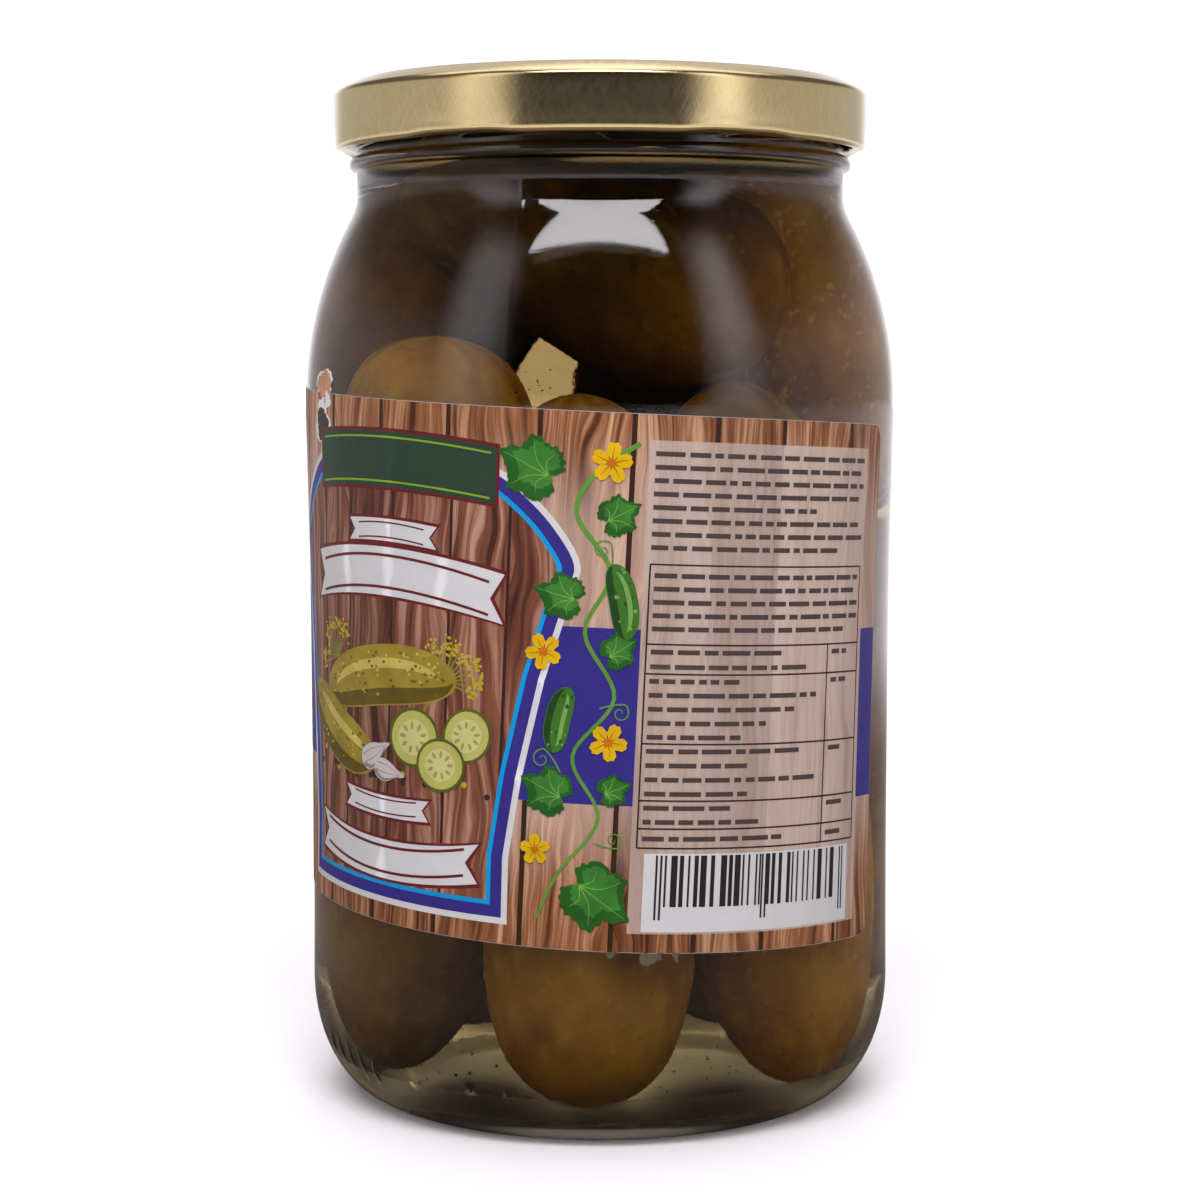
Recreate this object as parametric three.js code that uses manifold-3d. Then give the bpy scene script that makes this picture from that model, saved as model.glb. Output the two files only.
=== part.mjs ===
// A shut jar of pickles: a clear glass jar with a round shoulder, a twist-off lid of sheet metal, a paper label
// bent round three fifths of the side and stuck on a little askew, and the pickles that stand and lie in the jar.
// Millimetres, +Z up. The origin is on the jar's axis, at the height of the surface that the jar stands on.
// An azimuth is an angle round that axis, 0 at the front (-Y) and growing towards the right (+X).
import * as THREE from 'three';
import { mergeVertices } from 'three/addons/utils/BufferGeometryUtils.js';
import Module from 'manifold-3d';

const wasm = await Module();
wasm.setup();

const { cos, sin, sqrt, abs, min, max, PI } = Math;
const radians = THREE.MathUtils.degToRad;

// Segments round the jar and the lid
const TURN_SEGMENTS = 54;

// Glass, outside
const BODY_RADIUS = 47.6;
const BODY_RADIUS_HEIGHT = 112.8;
const HEEL_RADIUS = 47.15;
const HEEL_HEIGHT = 19.2;
const FOOT_OUTER_RADIUS = 35.3;
const FOOT_INNER_RADIUS = 31.5;
const PUSH_UP = 3.2;
const INNER_PUSH_UP = 2.4;
const SHOULDER_ARC = 61;
const SHOULDER_ANGLE = radians(28.6);
const NECK_RADIUS = 39.25;
const NECK_FILLET = 7.8;
const BEAD_HEIGHT = 150.4;
const BEAD_ROUND = 1.25;
const MOUTH_HEIGHT = 161.6;
const MOUTH_ROUND = 1.1;
// Glass, inside
const WALL = 2.9;
const BASE_THICKNESS = 4.4;
const INNER_HEEL_HEIGHT = 21;
const INNER_FOOT_RADIUS = 33;
const MOUTH_RADIUS = 36.6;
// The shallow panel that takes the label: [height, outer radius]
const PANEL = [[30, 47.05], [58, 47.0], [88, 47.15], [104, 47.45]];

// Thread on the mouth: six short ridges, and the section of a ridge as [height, distance proud of the wall]
const THREAD_COUNT = 6;
const THREAD_START = (-5 * 2 * PI) / TURN_SEGMENTS;
const THREAD_LOW = 153.0;
const THREAD_RISE = 1.8;
const THREAD_SECTION = [[-0.75, 0], [-0.35, 1.2], [0.35, 1.2], [0.75, 0]];

// Lid
const LID_BOTTOM = 152.5;
const LID_TOP = 163.4;
const LID_RADIUS = 42.85;
const LID_SHEET = 0.7;
const LID_GAP = 0.3;
const CURL_ROUND = 0.9;
const BEVEL_LOW = 160.8;
const BEVEL_ROUND = 1.3;
const BEVEL_TURN = radians(58);
const RING_OUTER_RADIUS = 39.7;
const RING_INNER_RADIUS = 31.5;
const PANEL_DROP = 0.8;
const BUTTON_RADIUS = 11.5;
const BUTTON_RISE = 0.5;
const LUG_COUNT = 6;
const LUG_START = radians(30);
const LUG_HALF_WIDTH = radians(9);
const LUG_FADE = radians(6);
const LUG_DEPTH = 0.6;

// Label
const LABEL_TILT = radians(2.7);
const LABEL_HEIGHT_MID = 71.7;
const LABEL_ROLL_RADIUS = 47.4;
const LABEL_LEFT = -126;
const LABEL_RIGHT = 54;
const LABEL_HALF_HEIGHT = 40;
const LABEL_CORNER = 3;
const LABEL_GAP = 0.3;
const LABEL_THICKNESS = 0.3;
const LABEL_COLUMNS = 26;
// Where its rows of vertices lie, as shares of the half height: close together where the shoulder starts
const LABEL_ROWS = [1, 0.85, 0.65, 0.2, -0.4, -1];

// Pickles: the two ends and the half thickness of each, how far its middle bows outwards from the jar's axis, and
// how blunt an end is that is blunter than the others
const PICKLE_SIDES = 12;
const PICKLE_RINGS = 10;
const PICKLE_BLUNTNESS = 4.5;
const PICKLE_BUMP = 0.35;
const PICKLES = [
  { name: 'front', foot: [-1.5, -27.0, 5.8], tip: [-3, -25.5, 114], radius: 14.9, bow: 1.5, footBlunt: 7 },
  { name: 'front left', foot: [-27, -8.5, 8], tip: [-21.5, -16.8, 121.7], radius: 14.8, bow: 0.6, tipBlunt: 9 },
  { name: 'front right', foot: [26.5, -7.5, 6.2], tip: [17, -18.5, 115.5], radius: 14.6, bow: 1.5 },
  { name: 'back right', foot: [16.5, 21, 7.5], tip: [18.5, 19.5, 98], radius: 15.0, bow: 1.0 },
  { name: 'back left', foot: [-15.5, 21.5, 7.5], tip: [-18, 21, 108], radius: 14.8, bow: 1.0 },
  { name: 'middle', foot: [1, 1, 10], tip: [0, 2, 106], radius: 13.2, bow: 0 },
  { name: 'top front', foot: [22, -9.5, 120.5], tip: [-25, -10.5, 151.5], radius: 15.6, bow: 0.0 },
  { name: 'top right', foot: [31, 5, 94], tip: [15.5, 4.5, 156], radius: 14.8, bow: 1.5 },
  { name: 'top left', foot: [-32, 5, 109], tip: [-0.5, 15, 155.5], radius: 14.4, bow: 0.0 },
  { name: 'top back', foot: [7.5, 24.5, 97], tip: [18, 14, 155], radius: 13.0, bow: 0.0 },
];
const CORE_RADIUS = 19;
const CORE_BOTTOM = 20;
const CORE_TOP = 140;

const point = (radius, height) => new THREE.Vector2(radius, height);

// Points of an elliptical arc, angles from the outward radial direction, both ends included.
function arc(centreRadius, centreHeight, radial, vertical, from, to, steps) {
  return Array.from({ length: steps + 1 }, (_, i) => {
    const angle = from + ((to - from) * i) / steps;
    return point(centreRadius + radial * cos(angle), centreHeight + vertical * sin(angle));
  });
}

// A dish of revolution below or above a flat: height falls away from the axis as a parabola.
function dish(edgeRadius, edgeHeight, rise, steps) {
  return Array.from({ length: steps }, (_, i) => {
    const radius = (edgeRadius * i) / steps;
    return point(radius, edgeHeight + rise * (1 - (radius / edgeRadius) ** 2));
  });
}

// Turns a profile round the jar's axis. Its outer side comes first, from the axis at the bottom to the top.
function turned(profile, segments = TURN_SEGMENTS) {
  return new THREE.LatheGeometry(profile, segments).rotateX(PI / 2);
}

function mergedByPosition(geometry) {
  const bare = geometry.index ? geometry.clone() : geometry;
  bare.deleteAttribute('normal');
  bare.deleteAttribute('uv');
  return mergeVertices(bare, 1e-4);
}

function toManifold(geometry) {
  const merged = mergedByPosition(geometry);
  const vertProperties = new Float32Array(merged.attributes.position.array);
  const corners = merged.index.array;
  const kept = [];
  for (let i = 0; i < corners.length; i += 3) {
    const [a, b, c] = [corners[i], corners[i + 1], corners[i + 2]];
    if (a !== b && b !== c && c !== a) kept.push(a, b, c);
  }
  return new wasm.Manifold(new wasm.Mesh({ numProp: 3, vertProperties, triVerts: new Uint32Array(kept) }));
}

function fromManifold(manifold) {
  const mesh = manifold.getMesh();
  const geometry = new THREE.BufferGeometry();
  geometry.setAttribute('position', new THREE.BufferAttribute(mesh.vertProperties, 3));
  geometry.setIndex(new THREE.BufferAttribute(mesh.triVerts, 1));
  geometry.computeVertexNormals();
  return geometry;
}

// Heel, side and shoulder of the glass, from the foot up to the bead, as the label needs them too.
function glassSide() {
  const filletHeight = BODY_RADIUS_HEIGHT + (SHOULDER_ARC + NECK_FILLET) * sin(SHOULDER_ANGLE);
  return [
    ...arc(FOOT_OUTER_RADIUS, HEEL_HEIGHT, HEEL_RADIUS - FOOT_OUTER_RADIUS, HEEL_HEIGHT, -PI / 2, 0, 6),
    ...PANEL.map(([height, radius]) => point(radius, height)),
    ...arc(BODY_RADIUS - SHOULDER_ARC, BODY_RADIUS_HEIGHT, SHOULDER_ARC, SHOULDER_ARC, 0, SHOULDER_ANGLE, 5),
    ...arc(NECK_RADIUS + NECK_FILLET, filletHeight, NECK_FILLET, NECK_FILLET, PI + SHOULDER_ANGLE, PI, 3).slice(1),
  ];
}

// Outer radius of the glass at a height between the foot and the neck.
function glassRadiusAt(height) {
  const side = glassSide();
  const above = side.findIndex((p) => p.y >= height);
  const [low, high] = [side[above - 1], side[above]];
  return low.x + ((high.x - low.x) * (height - low.y)) / (high.y - low.y);
}

// The mouth's thread is made of short ridges, each of which climbs across its share of the turn. This moves the rows
// of THREAD_SECTION up along the climb, and sinks the ridge into the wall at both of its ends.
function climbThread(geometry) {
  const position = geometry.attributes.position;
  const share = TURN_SEGMENTS / THREAD_COUNT;
  for (let i = 0; i < position.count; i += 1) {
    const [x, y, z] = [position.getX(i), position.getY(i), position.getZ(i)];
    const radius = sqrt(x * x + y * y);
    const row = THREAD_SECTION.find(([up]) => abs(z - THREAD_LOW - up) < 1e-3);
    if (!row || radius < NECK_RADIUS - 0.1) continue;
    const segment = Math.round(((Math.atan2(x, -y) - THREAD_START) / (2 * PI)) * TURN_SEGMENTS) + TURN_SEGMENTS;
    const step = segment % share;
    const isEnd = step === 0 || step === share - 1;
    const scale = isEnd ? NECK_RADIUS / radius : 1;
    position.setXYZ(i, x * scale, y * scale, z + (THREAD_RISE * step) / (share - 1));
  }
}

function glassJar() {
  const innerArc = SHOULDER_ARC - WALL;
  const innerTop = radians(27.5);
  const profile = [
    ...dish(FOOT_INNER_RADIUS, 0, PUSH_UP, 3),
    point(FOOT_INNER_RADIUS, 0),
    ...glassSide(),
    ...arc(NECK_RADIUS, BEAD_HEIGHT, BEAD_ROUND, BEAD_ROUND, -PI / 2, PI / 2, 4),
    ...THREAD_SECTION.map(([up, out]) => point(NECK_RADIUS + out, THREAD_LOW + up)),
    ...arc(NECK_RADIUS - MOUTH_ROUND, MOUTH_HEIGHT - MOUTH_ROUND, MOUTH_ROUND, MOUTH_ROUND, 0, PI, 4),
    point(MOUTH_RADIUS, BEAD_HEIGHT),
    ...arc(BODY_RADIUS - SHOULDER_ARC, BODY_RADIUS_HEIGHT, innerArc, innerArc, innerTop, 0, 5),
    point(HEEL_RADIUS - WALL, PANEL[1][0]),
    ...arc(INNER_FOOT_RADIUS, INNER_HEEL_HEIGHT, HEEL_RADIUS - WALL - INNER_FOOT_RADIUS,
      INNER_HEEL_HEIGHT - BASE_THICKNESS, 0, -PI / 2, 5),
    ...dish(INNER_FOOT_RADIUS, BASE_THICKNESS, INNER_PUSH_UP, 2).reverse(),
  ];
  const geometry = turned(profile);
  climbThread(geometry);
  return geometry;
}

function lid() {
  const panel = LID_TOP - PANEL_DROP;
  const button = panel + BUTTON_RISE;
  const inside = LID_RADIUS - LID_SHEET;
  const underside = MOUTH_HEIGHT + LID_GAP;
  const bend = LID_RADIUS - BEVEL_ROUND;
  const innerBend = BEVEL_ROUND - LID_SHEET;
  const profile = [
    point(0, underside),
    point(bend - 0.5, underside),
    ...arc(bend, BEVEL_LOW, innerBend, innerBend, BEVEL_TURN, 0, 2),
    point(inside, LID_BOTTOM + 2.4 * CURL_ROUND),
    ...arc(LID_RADIUS - CURL_ROUND, LID_BOTTOM + CURL_ROUND, CURL_ROUND, CURL_ROUND, PI * 0.8, PI * 1.9, 4),
    point(LID_RADIUS, LID_BOTTOM + 2 * CURL_ROUND),
    ...arc(bend, BEVEL_LOW, BEVEL_ROUND, BEVEL_ROUND, 0, BEVEL_TURN, 4),
    point(RING_OUTER_RADIUS, LID_TOP - 0.2),
    point(RING_OUTER_RADIUS - 0.9, LID_TOP),
    point(RING_INNER_RADIUS + 0.8, LID_TOP),
    point(RING_INNER_RADIUS - 0.8, panel),
    point(BUTTON_RADIUS + 1.2, panel),
    point(BUTTON_RADIUS, button),
    point(0, button),
  ];
  const geometry = turned(profile);
  pressLugs(geometry);
  return geometry;
}

// The rolled lower edge of the lid is pressed inwards at six places, which grip under the thread.
function pressLugs(geometry) {
  const position = geometry.attributes.position;
  const spacing = (2 * PI) / LUG_COUNT;
  for (let i = 0; i < position.count; i += 1) {
    const [x, y, z] = [position.getX(i), position.getY(i), position.getZ(i)];
    const radius = sqrt(x * x + y * y);
    if (z > LID_BOTTOM + 2 * CURL_ROUND || radius > LID_RADIUS - 0.2) continue;
    const turn = Math.atan2(x, -y) - LUG_START;
    const off = abs(turn - spacing * Math.round(turn / spacing));
    const share = min(1, max(0, (LUG_HALF_WIDTH + LUG_FADE - off) / LUG_FADE));
    const scale = (radius - LUG_DEPTH * share) / radius;
    position.setXYZ(i, x * scale, y * scale, z + 0.5 * LUG_DEPTH * share);
  }
}

// A point of the label, from its own flat coordinates to its place on the glass. out is the distance off the glass.
function onGlass(across, up, out) {
  const arcLength = across * cos(LABEL_TILT) + up * sin(LABEL_TILT);
  const height = LABEL_HEIGHT_MID - across * sin(LABEL_TILT) + up * cos(LABEL_TILT);
  const azimuth = arcLength / LABEL_ROLL_RADIUS;
  const radius = glassRadiusAt(height) + out;
  return [radius * sin(azimuth), -radius * cos(azimuth), height];
}

// Half the label's height at a distance from its nearer end, less the rounded corner.
function labelHalfHeight(fromEnd) {
  if (fromEnd >= LABEL_CORNER) return LABEL_HALF_HEIGHT;
  return LABEL_HALF_HEIGHT - LABEL_CORNER + sqrt(LABEL_CORNER ** 2 - (LABEL_CORNER - fromEnd) ** 2);
}

function label() {
  const corner = [0, 0.25, 0.9, 1.9].map((distance) => (distance * LABEL_CORNER) / 3);
  const span = LABEL_RIGHT - LABEL_LEFT;
  const middle = Array.from({ length: LABEL_COLUMNS + 1 },
    (_, i) => LABEL_CORNER + ((span - 2 * LABEL_CORNER) * i) / LABEL_COLUMNS);
  const columns = [...corner, ...middle, ...corner.map((distance) => span - distance).reverse()];
  const sheet = new THREE.PlaneGeometry(1, 1, columns.length - 1, LABEL_ROWS.length - 1);
  const faces = sheet.index.array;
  const count = sheet.attributes.position.count;
  const positions = [];
  for (const out of [LABEL_GAP + LABEL_THICKNESS, LABEL_GAP]) {
    for (let i = 0; i < count; i += 1) {
      const column = columns[i % columns.length];
      const row = LABEL_ROWS[Math.floor(i / columns.length)];
      const half = labelHalfHeight(min(column, span - column));
      positions.push(...onGlass(LABEL_LEFT + column, half * row, out));
    }
  }
  const triangles = [...faces];
  for (let i = 0; i < faces.length; i += 3) triangles.push(faces[i] + count, faces[i + 2] + count, faces[i + 1] + count);
  const wide = columns.length;
  const top = Array.from({ length: wide }, (_, i) => i);
  const right = LABEL_ROWS.map((_, i) => i * wide + wide - 1);
  const bottom = top.map((i) => count - 1 - i);
  const left = LABEL_ROWS.map((_, i) => i * wide).reverse();
  for (const edge of [top, right, bottom, left]) {
    for (let i = 1; i < edge.length; i += 1) {
      const [a, b] = [edge[i - 1], edge[i]];
      triangles.push(a, b, a + count, b, b + count, a + count);
    }
  }
  const geometry = new THREE.BufferGeometry();
  geometry.setAttribute('position', new THREE.Float32BufferAttribute(positions, 3));
  geometry.setIndex(triangles);
  geometry.computeVertexNormals();
  return geometry;
}

// One pickle: a blunt spindle with a few low bumps, laid between its two ends and bowed away from the jar's axis.
function pickleBody({ foot, tip, radius, bow, footBlunt = PICKLE_BLUNTNESS, tipBlunt = PICKLE_BLUNTNESS }, turn) {
  const from = new THREE.Vector3(...foot);
  const to = new THREE.Vector3(...tip);
  const axis = to.clone().sub(from);
  const length = axis.length();
  const profile = Array.from({ length: PICKLE_RINGS + 1 }, (_, i) => {
    const along = -cos((PI * i) / PICKLE_RINGS);
    const blunt = along < 0 ? footBlunt : tipBlunt;
    return point(radius * sqrt(max(0, 1 - abs(along) ** blunt)), (along * length) / 2);
  });
  const geometry = new THREE.LatheGeometry(profile, PICKLE_SIDES);
  const position = geometry.attributes.position;
  for (let i = 0; i < position.count; i += 1) {
    const [x, y, z] = [position.getX(i), position.getY(i), position.getZ(i)];
    const around = Math.atan2(x, z);
    const bump = 1 + (PICKLE_BUMP / radius) * sin(3 * around + y * 0.21 + turn) * cos(y * 0.13 - turn);
    position.setXYZ(i, x * bump, y, z * bump);
  }
  geometry.applyQuaternion(new THREE.Quaternion().setFromUnitVectors(new THREE.Vector3(0, 1, 0), axis.normalize()));
  const middle = from.clone().add(to).multiplyScalar(0.5);
  const outward = new THREE.Vector3(middle.x, middle.y, 0).normalize();
  for (let i = 0; i < position.count; i += 1) {
    const place = new THREE.Vector3().fromBufferAttribute(position, i);
    const along = (2 * place.dot(axis)) / length;
    place.addScaledVector(outward, bow * (1 - along * along)).add(middle);
    position.setXYZ(i, place.x, place.y, place.z);
  }
  return geometry;
}

// The heap: all the pickles fused on a column that fills the space between them.
function pickleHeap() {
  const height = CORE_TOP - CORE_BOTTOM;
  const core = new THREE.CapsuleGeometry(CORE_RADIUS, height - 2 * CORE_RADIUS, 3, PICKLE_SIDES)
    .rotateX(PI / 2)
    .translate(0, 3, CORE_BOTTOM + height / 2);
  const heap = PICKLES.reduce((sum, pickle, i) => sum.add(toManifold(pickleBody(pickle, i))), toManifold(core));
  return fromManifold(heap);
}

const MATERIALS = {
  glass_jar: new THREE.MeshStandardMaterial({ color: 0xc9d2cd, roughness: 0.05, metalness: 0, transparent: true, opacity: 0.35 }),
  lid: new THREE.MeshStandardMaterial({ color: 0xc2ad80, roughness: 0.38, metalness: 0.9 }),
  label: new THREE.MeshStandardMaterial({ color: 0xb98b72, roughness: 0.45, metalness: 0 }),
  pickles: new THREE.MeshStandardMaterial({ color: 0x6b5a1e, roughness: 0.35, metalness: 0 }),
};

const jar = new THREE.Group();
const PIECES = { glass_jar: glassJar, lid, label, pickles: pickleHeap };
for (const [name, make] of Object.entries(PIECES)) {
  const mesh = new THREE.Mesh(make(), MATERIALS[name]);
  mesh.name = name;
  jar.add(mesh);
}

export default jar;
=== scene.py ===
"""A shut jar of pickles in brine on a pale floor: clear glass, a gold twist-off lid and a paper label.

Lengths are in the jar's own millimetres until a mesh is made, which turns them into metres. The jar's axis
is Z, and an azimuth is an angle round it, 0 at the front (-Y) and growing towards the right (+X). The label
is drawn flat, in millimetres across and up from the middle of the jar's front, and then bent onto the glass.
"""
import math
from collections import namedtuple

import bmesh
import bpy
import numpy as np
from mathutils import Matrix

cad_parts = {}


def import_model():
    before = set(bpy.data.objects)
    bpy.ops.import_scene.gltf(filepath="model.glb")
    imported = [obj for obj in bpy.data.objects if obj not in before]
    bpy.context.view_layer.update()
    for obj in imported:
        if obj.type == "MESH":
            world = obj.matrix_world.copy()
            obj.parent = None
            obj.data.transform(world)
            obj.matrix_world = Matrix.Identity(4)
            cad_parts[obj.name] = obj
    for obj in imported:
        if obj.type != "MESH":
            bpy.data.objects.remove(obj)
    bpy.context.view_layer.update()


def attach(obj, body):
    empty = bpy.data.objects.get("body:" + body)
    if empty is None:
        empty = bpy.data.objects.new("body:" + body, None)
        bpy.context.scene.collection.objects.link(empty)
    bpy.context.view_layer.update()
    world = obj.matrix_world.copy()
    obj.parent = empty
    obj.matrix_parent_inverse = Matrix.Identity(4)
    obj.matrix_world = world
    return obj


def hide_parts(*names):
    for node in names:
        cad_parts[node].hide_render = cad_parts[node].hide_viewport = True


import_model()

MM = 0.001
TAU = 2 * math.pi

# Camera, fitted to the ellipses of the lid and the outline of the jar
CAMERA_DISTANCE = 448.0
CAMERA_HEIGHT = 119.2
CAMERA_PITCH = math.radians(5.0)
FOCAL_PIXELS = 2740.0
PHOTO_PIXELS = 1200
SENSOR_MM = 36.0

# Glass, outside and inside
BODY_RADIUS = 47.6
BODY_RADIUS_HEIGHT = 112.8
HEEL_RADIUS = 47.15
HEEL_HEIGHT = 19.2
FOOT_OUTER_RADIUS = 35.3
FOOT_INNER_RADIUS = 31.5
PUSH_UP = 3.2
INNER_PUSH_UP = 2.4
SHOULDER_ARC = 61.0
SHOULDER_ANGLE = math.radians(28.6)
NECK_RADIUS = 39.25
NECK_FILLET = 7.8
BEAD_HEIGHT = 150.4
BEAD_ROUND = 1.25
MOUTH_HEIGHT = 161.6
MOUTH_ROUND = 1.1
MOUTH_RADIUS = 36.6
WALL = 2.9
BASE_THICKNESS = 4.4
INNER_HEEL_HEIGHT = 21.0
INNER_FOOT_RADIUS = 33.0
INNER_NECK_HEIGHT = 146.5
INNER_SHOULDER_ANGLE = math.radians(29.5)

# The stippled part of the inner base, and how uneven the pressed glass is inside and outside
STIPPLE_HEIGHT, STIPPLE_RADIUS = 11.0, 40.5
INNER_WAVE, OUTER_WAVE = 0.45, 0.05

# Panel of the side as heights and radii, and thread
PANEL = ((30, 47.05), (58, 47.0), (88, 47.15), (104, 47.45))
THREAD_COUNT = 6
THREAD_START = math.radians(-33.3)
THREAD_LOW = 153.0
THREAD_RISE = 1.8
THREAD_PROUD = 1.2
THREAD_HALF_HEIGHT = 0.75

# Brine, and how strongly each clear thing bends light
BRINE_LEVEL = 159.3
BRINE_INTO_WALL = 0.3
GLASS_REFRACTION = 1.5
BRINE_REFRACTION = 1.34

# Lid
LID_BOTTOM = 152.5
LID_TOP = 163.4
LID_RADIUS = 42.85
LID_SHEET = 0.5
CURL_ROUND = 0.9
BEVEL_LOW = 160.8
BEVEL_ROUND = 1.3
BEVEL_TURN = math.radians(58)
RING_OUTER_RADIUS = 39.7
RING_INNER_RADIUS = 31.5
PANEL_DROP = 0.8
BUTTON_RADIUS = 11.5
BUTTON_RISE = 0.5
LUG_COUNT = 6
LUG_START = math.radians(30)
LUG_HALF_WIDTH = math.radians(9)
LUG_DEPTH = 0.6

# Label: its place on the glass, and the lines that its print is laid out by
LABEL_TILT = math.radians(2.7)
LABEL_HEIGHT_MID = 71.7
LABEL_ROLL_RADIUS = 47.4
LABEL_LEFT, LABEL_RIGHT = -126.0, 54.0
LABEL_HALF_HEIGHT = 40.0
LABEL_CORNER = 3.0
PAPER_BACK, PAPER_FRONT = -0.02, 0.1
INK_STEP = 0.014
FRAME_MIDDLE = -36.0

# Pickles: the two ends and the half thickness of each, how far its middle bows outwards from the jar's axis,
# how blunt its foot and its tip are, how light its skin is painted at its foot, middle and tip, as painted
# shade
# and light: darker high up under the lid and among the other pickles, lighter low on the right, and how
# golden its flecks are
Pickle = namedtuple("Pickle", "foot tip radius bow blunt tones flecks")
EVEN_ENDS = (4.5, 4.5)
PICKLES = (
    Pickle((-1.5, -27.0, 5.8), (-3, -25.5, 114), 14.9, 1.5, (7.0, 4.5), (1.02, 1.12, 0.62), 0.15),
    Pickle((-27, -8.5, 8), (-21.5, -16.8, 121.7), 14.8, 0.6, (4.5, 9.0), (0.64, 0.8, 1.08), 0.15),
    Pickle((26.5, -7.5, 6.2), (17, -18.5, 115.5), 14.6, 1.5, EVEN_ENDS, (1.7, 1.5, 0.34), 0.2),
    Pickle((16.5, 21, 7.5), (18.5, 19.5, 98), 15.0, 1.0, EVEN_ENDS, (0.9, 0.85, 0.8), 0.2),
    Pickle((-15.5, 21.5, 7.5), (-18, 21, 108), 14.8, 1.0, EVEN_ENDS, (0.9, 0.85, 0.8), 0.2),
    Pickle((1, 1, 10), (0, 2, 106), 13.2, 0.0, EVEN_ENDS, (0.6, 0.6, 0.6), 0.1),
    Pickle((22, -9.5, 120.5), (-25, -10.5, 151.5), 15.6, 0.0, EVEN_ENDS, (0.75, 0.15, 0.42), 0.25),
    Pickle((31, 5, 94), (15.5, 4.5, 156), 14.8, 1.5, EVEN_ENDS, (0.9, 0.98, 0.9), 0.5),
    Pickle((-32, 5, 109), (-0.5, 15, 155.5), 14.4, 0.0, EVEN_ENDS, (0.55, 0.55, 0.55), 0.2),
    Pickle((7.5, 24.5, 97), (18, 14, 155), 13.0, 0.0, EVEN_ENDS, (0.35, 0.35, 0.35), 0.3),
)


# Colour

def linear(red, green, blue):
    """Scene colour of an 8-bit screen colour."""
    def one(value):
        value /= 255
        return value / 12.92 if value <= 0.04045 else ((value + 0.055) / 1.055) ** 2.4
    return (one(red), one(green), one(blue), 1.0)


# What a printed colour reflects: white paper shows as PAPER_WHITE in the jar's light and reflects
# PAPER_ALBEDO
PAPER_WHITE = linear(196, 190, 198)
PAPER_ALBEDO = 0.58
PRINT_SHEEN = 0.18
PRINT_ROUGHNESS = 0.5


def ink(red, green, blue):
    """Albedo of print that shows as this screen colour in the jar's light."""
    seen = linear(red, green, blue)
    return tuple(min(0.92, seen[i] / PAPER_WHITE[i] * PAPER_ALBEDO) for i in range(3)) + (1.0,)


# Node helpers

BLACK, WHITE = (0, 0, 0, 1), (1, 1, 1, 1)


def fill(tree, socket, value):
    """Links a socket to another one, or gives it a value."""
    if isinstance(value, bpy.types.NodeSocket):
        tree.links.new(value, socket)
    else:
        socket.default_value = value


def add_node(tree, kind, *values, **settings):
    """A node of that kind. Values go to its inputs in their order. Settings are attributes, or inputs where
    the name has a capital letter."""
    node = tree.nodes.new("ShaderNode" + kind)
    for key, value in settings.items():
        if key[0].isupper():
            fill(tree, node.inputs[key.replace("_", " ")], value)
        else:
            setattr(node, key, value)
    for socket, value in zip(node.inputs, values):
        fill(tree, socket, value)
    return node


def new_material(name, **settings):
    """A material with a Principled shader of those settings. Returns it, its node tree, shader and output."""
    material = bpy.data.materials.new(name)
    material.use_nodes = True
    tree = material.node_tree
    tree.nodes.clear()
    output = add_node(tree, "OutputMaterial")
    shader = add_node(tree, "BsdfPrincipled", **settings)
    fill(tree, output.inputs["Surface"], shader.outputs["BSDF"])
    return material, tree, shader, output


def ramp(tree, factor, *stops):
    """A colour ramp of (position, colour) stops, driven by factor. Returns its colour output."""
    node = add_node(tree, "ValToRGB", Fac=factor)
    elements = node.color_ramp.elements
    while len(elements) < len(stops):
        elements.new(0.5)
    for element, (position, colour) in zip(elements, stops):
        element.position = position
        element.color = colour
    return node.outputs["Color"]


def mask(tree, factor, low, high):
    """Black up to low and white from high."""
    return ramp(tree, factor, (low, BLACK), (high, WHITE))


def mixed(tree, factor, first, second, blend="MIX"):
    """Mix of two colours, each a socket or a value, by a factor socket or number."""
    node = add_node(tree, "Mix", data_type="RGBA", blend_type=blend)
    for place, value in ((0, factor), (6, first), (7, second)):
        fill(tree, node.inputs[place], value)
    return node.outputs[2]


def maths(tree, operation, *values, clamp=False):
    return add_node(tree, "Math", *values, operation=operation, use_clamp=clamp).outputs[0]


def joined(tree, operation, *parts):
    """The parts joined by one operation, two at a time."""
    total = parts[0]
    for part in parts[1:]:
        total = maths(tree, operation, total, part)
    return total


def times(tree, *parts):
    return joined(tree, "MULTIPLY", *parts)


def plus(tree, *parts):
    return joined(tree, "ADD", *parts)


def scaled(tree, vector, scale):
    """A vector socket times a fixed (x, y, z)."""
    return add_node(tree, "VectorMath", vector, scale, operation="MULTIPLY").outputs[0]


def split(tree, vector):
    return add_node(tree, "SeparateXYZ", vector).outputs


def combined(tree, *numbers):
    return add_node(tree, "CombineXYZ", *numbers).outputs[0]


def noise(tree, vector, scale, detail=3.0, roughness=0.5):
    node = add_node(tree, "TexNoise", Vector=vector, Scale=scale, Detail=detail, Roughness=roughness)
    return node.outputs["Fac"]


def eased(tree, value, low, high, **settings):
    """A smooth climb from 0 to 1 as the value goes from low to high."""
    settings = {"Value": value, "From_Min": low, "From_Max": high} | settings
    return add_node(tree, "MapRange", interpolation_type="SMOOTHSTEP", **settings).outputs[0]


def object_place(tree):
    return add_node(tree, "TexCoord").outputs["Object"]


def attribute(tree, name, output="Fac"):
    return add_node(tree, "Attribute", attribute_name=name).outputs[output]


def bumped(tree, shader, height, strength, distance):
    """Gives the shader a bump of that height socket, distance metres deep."""
    node = add_node(tree, "Bump", Strength=strength, Distance=distance, Height=height)
    fill(tree, shader.inputs["Normal"], node.outputs["Normal"])


# Materials

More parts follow.
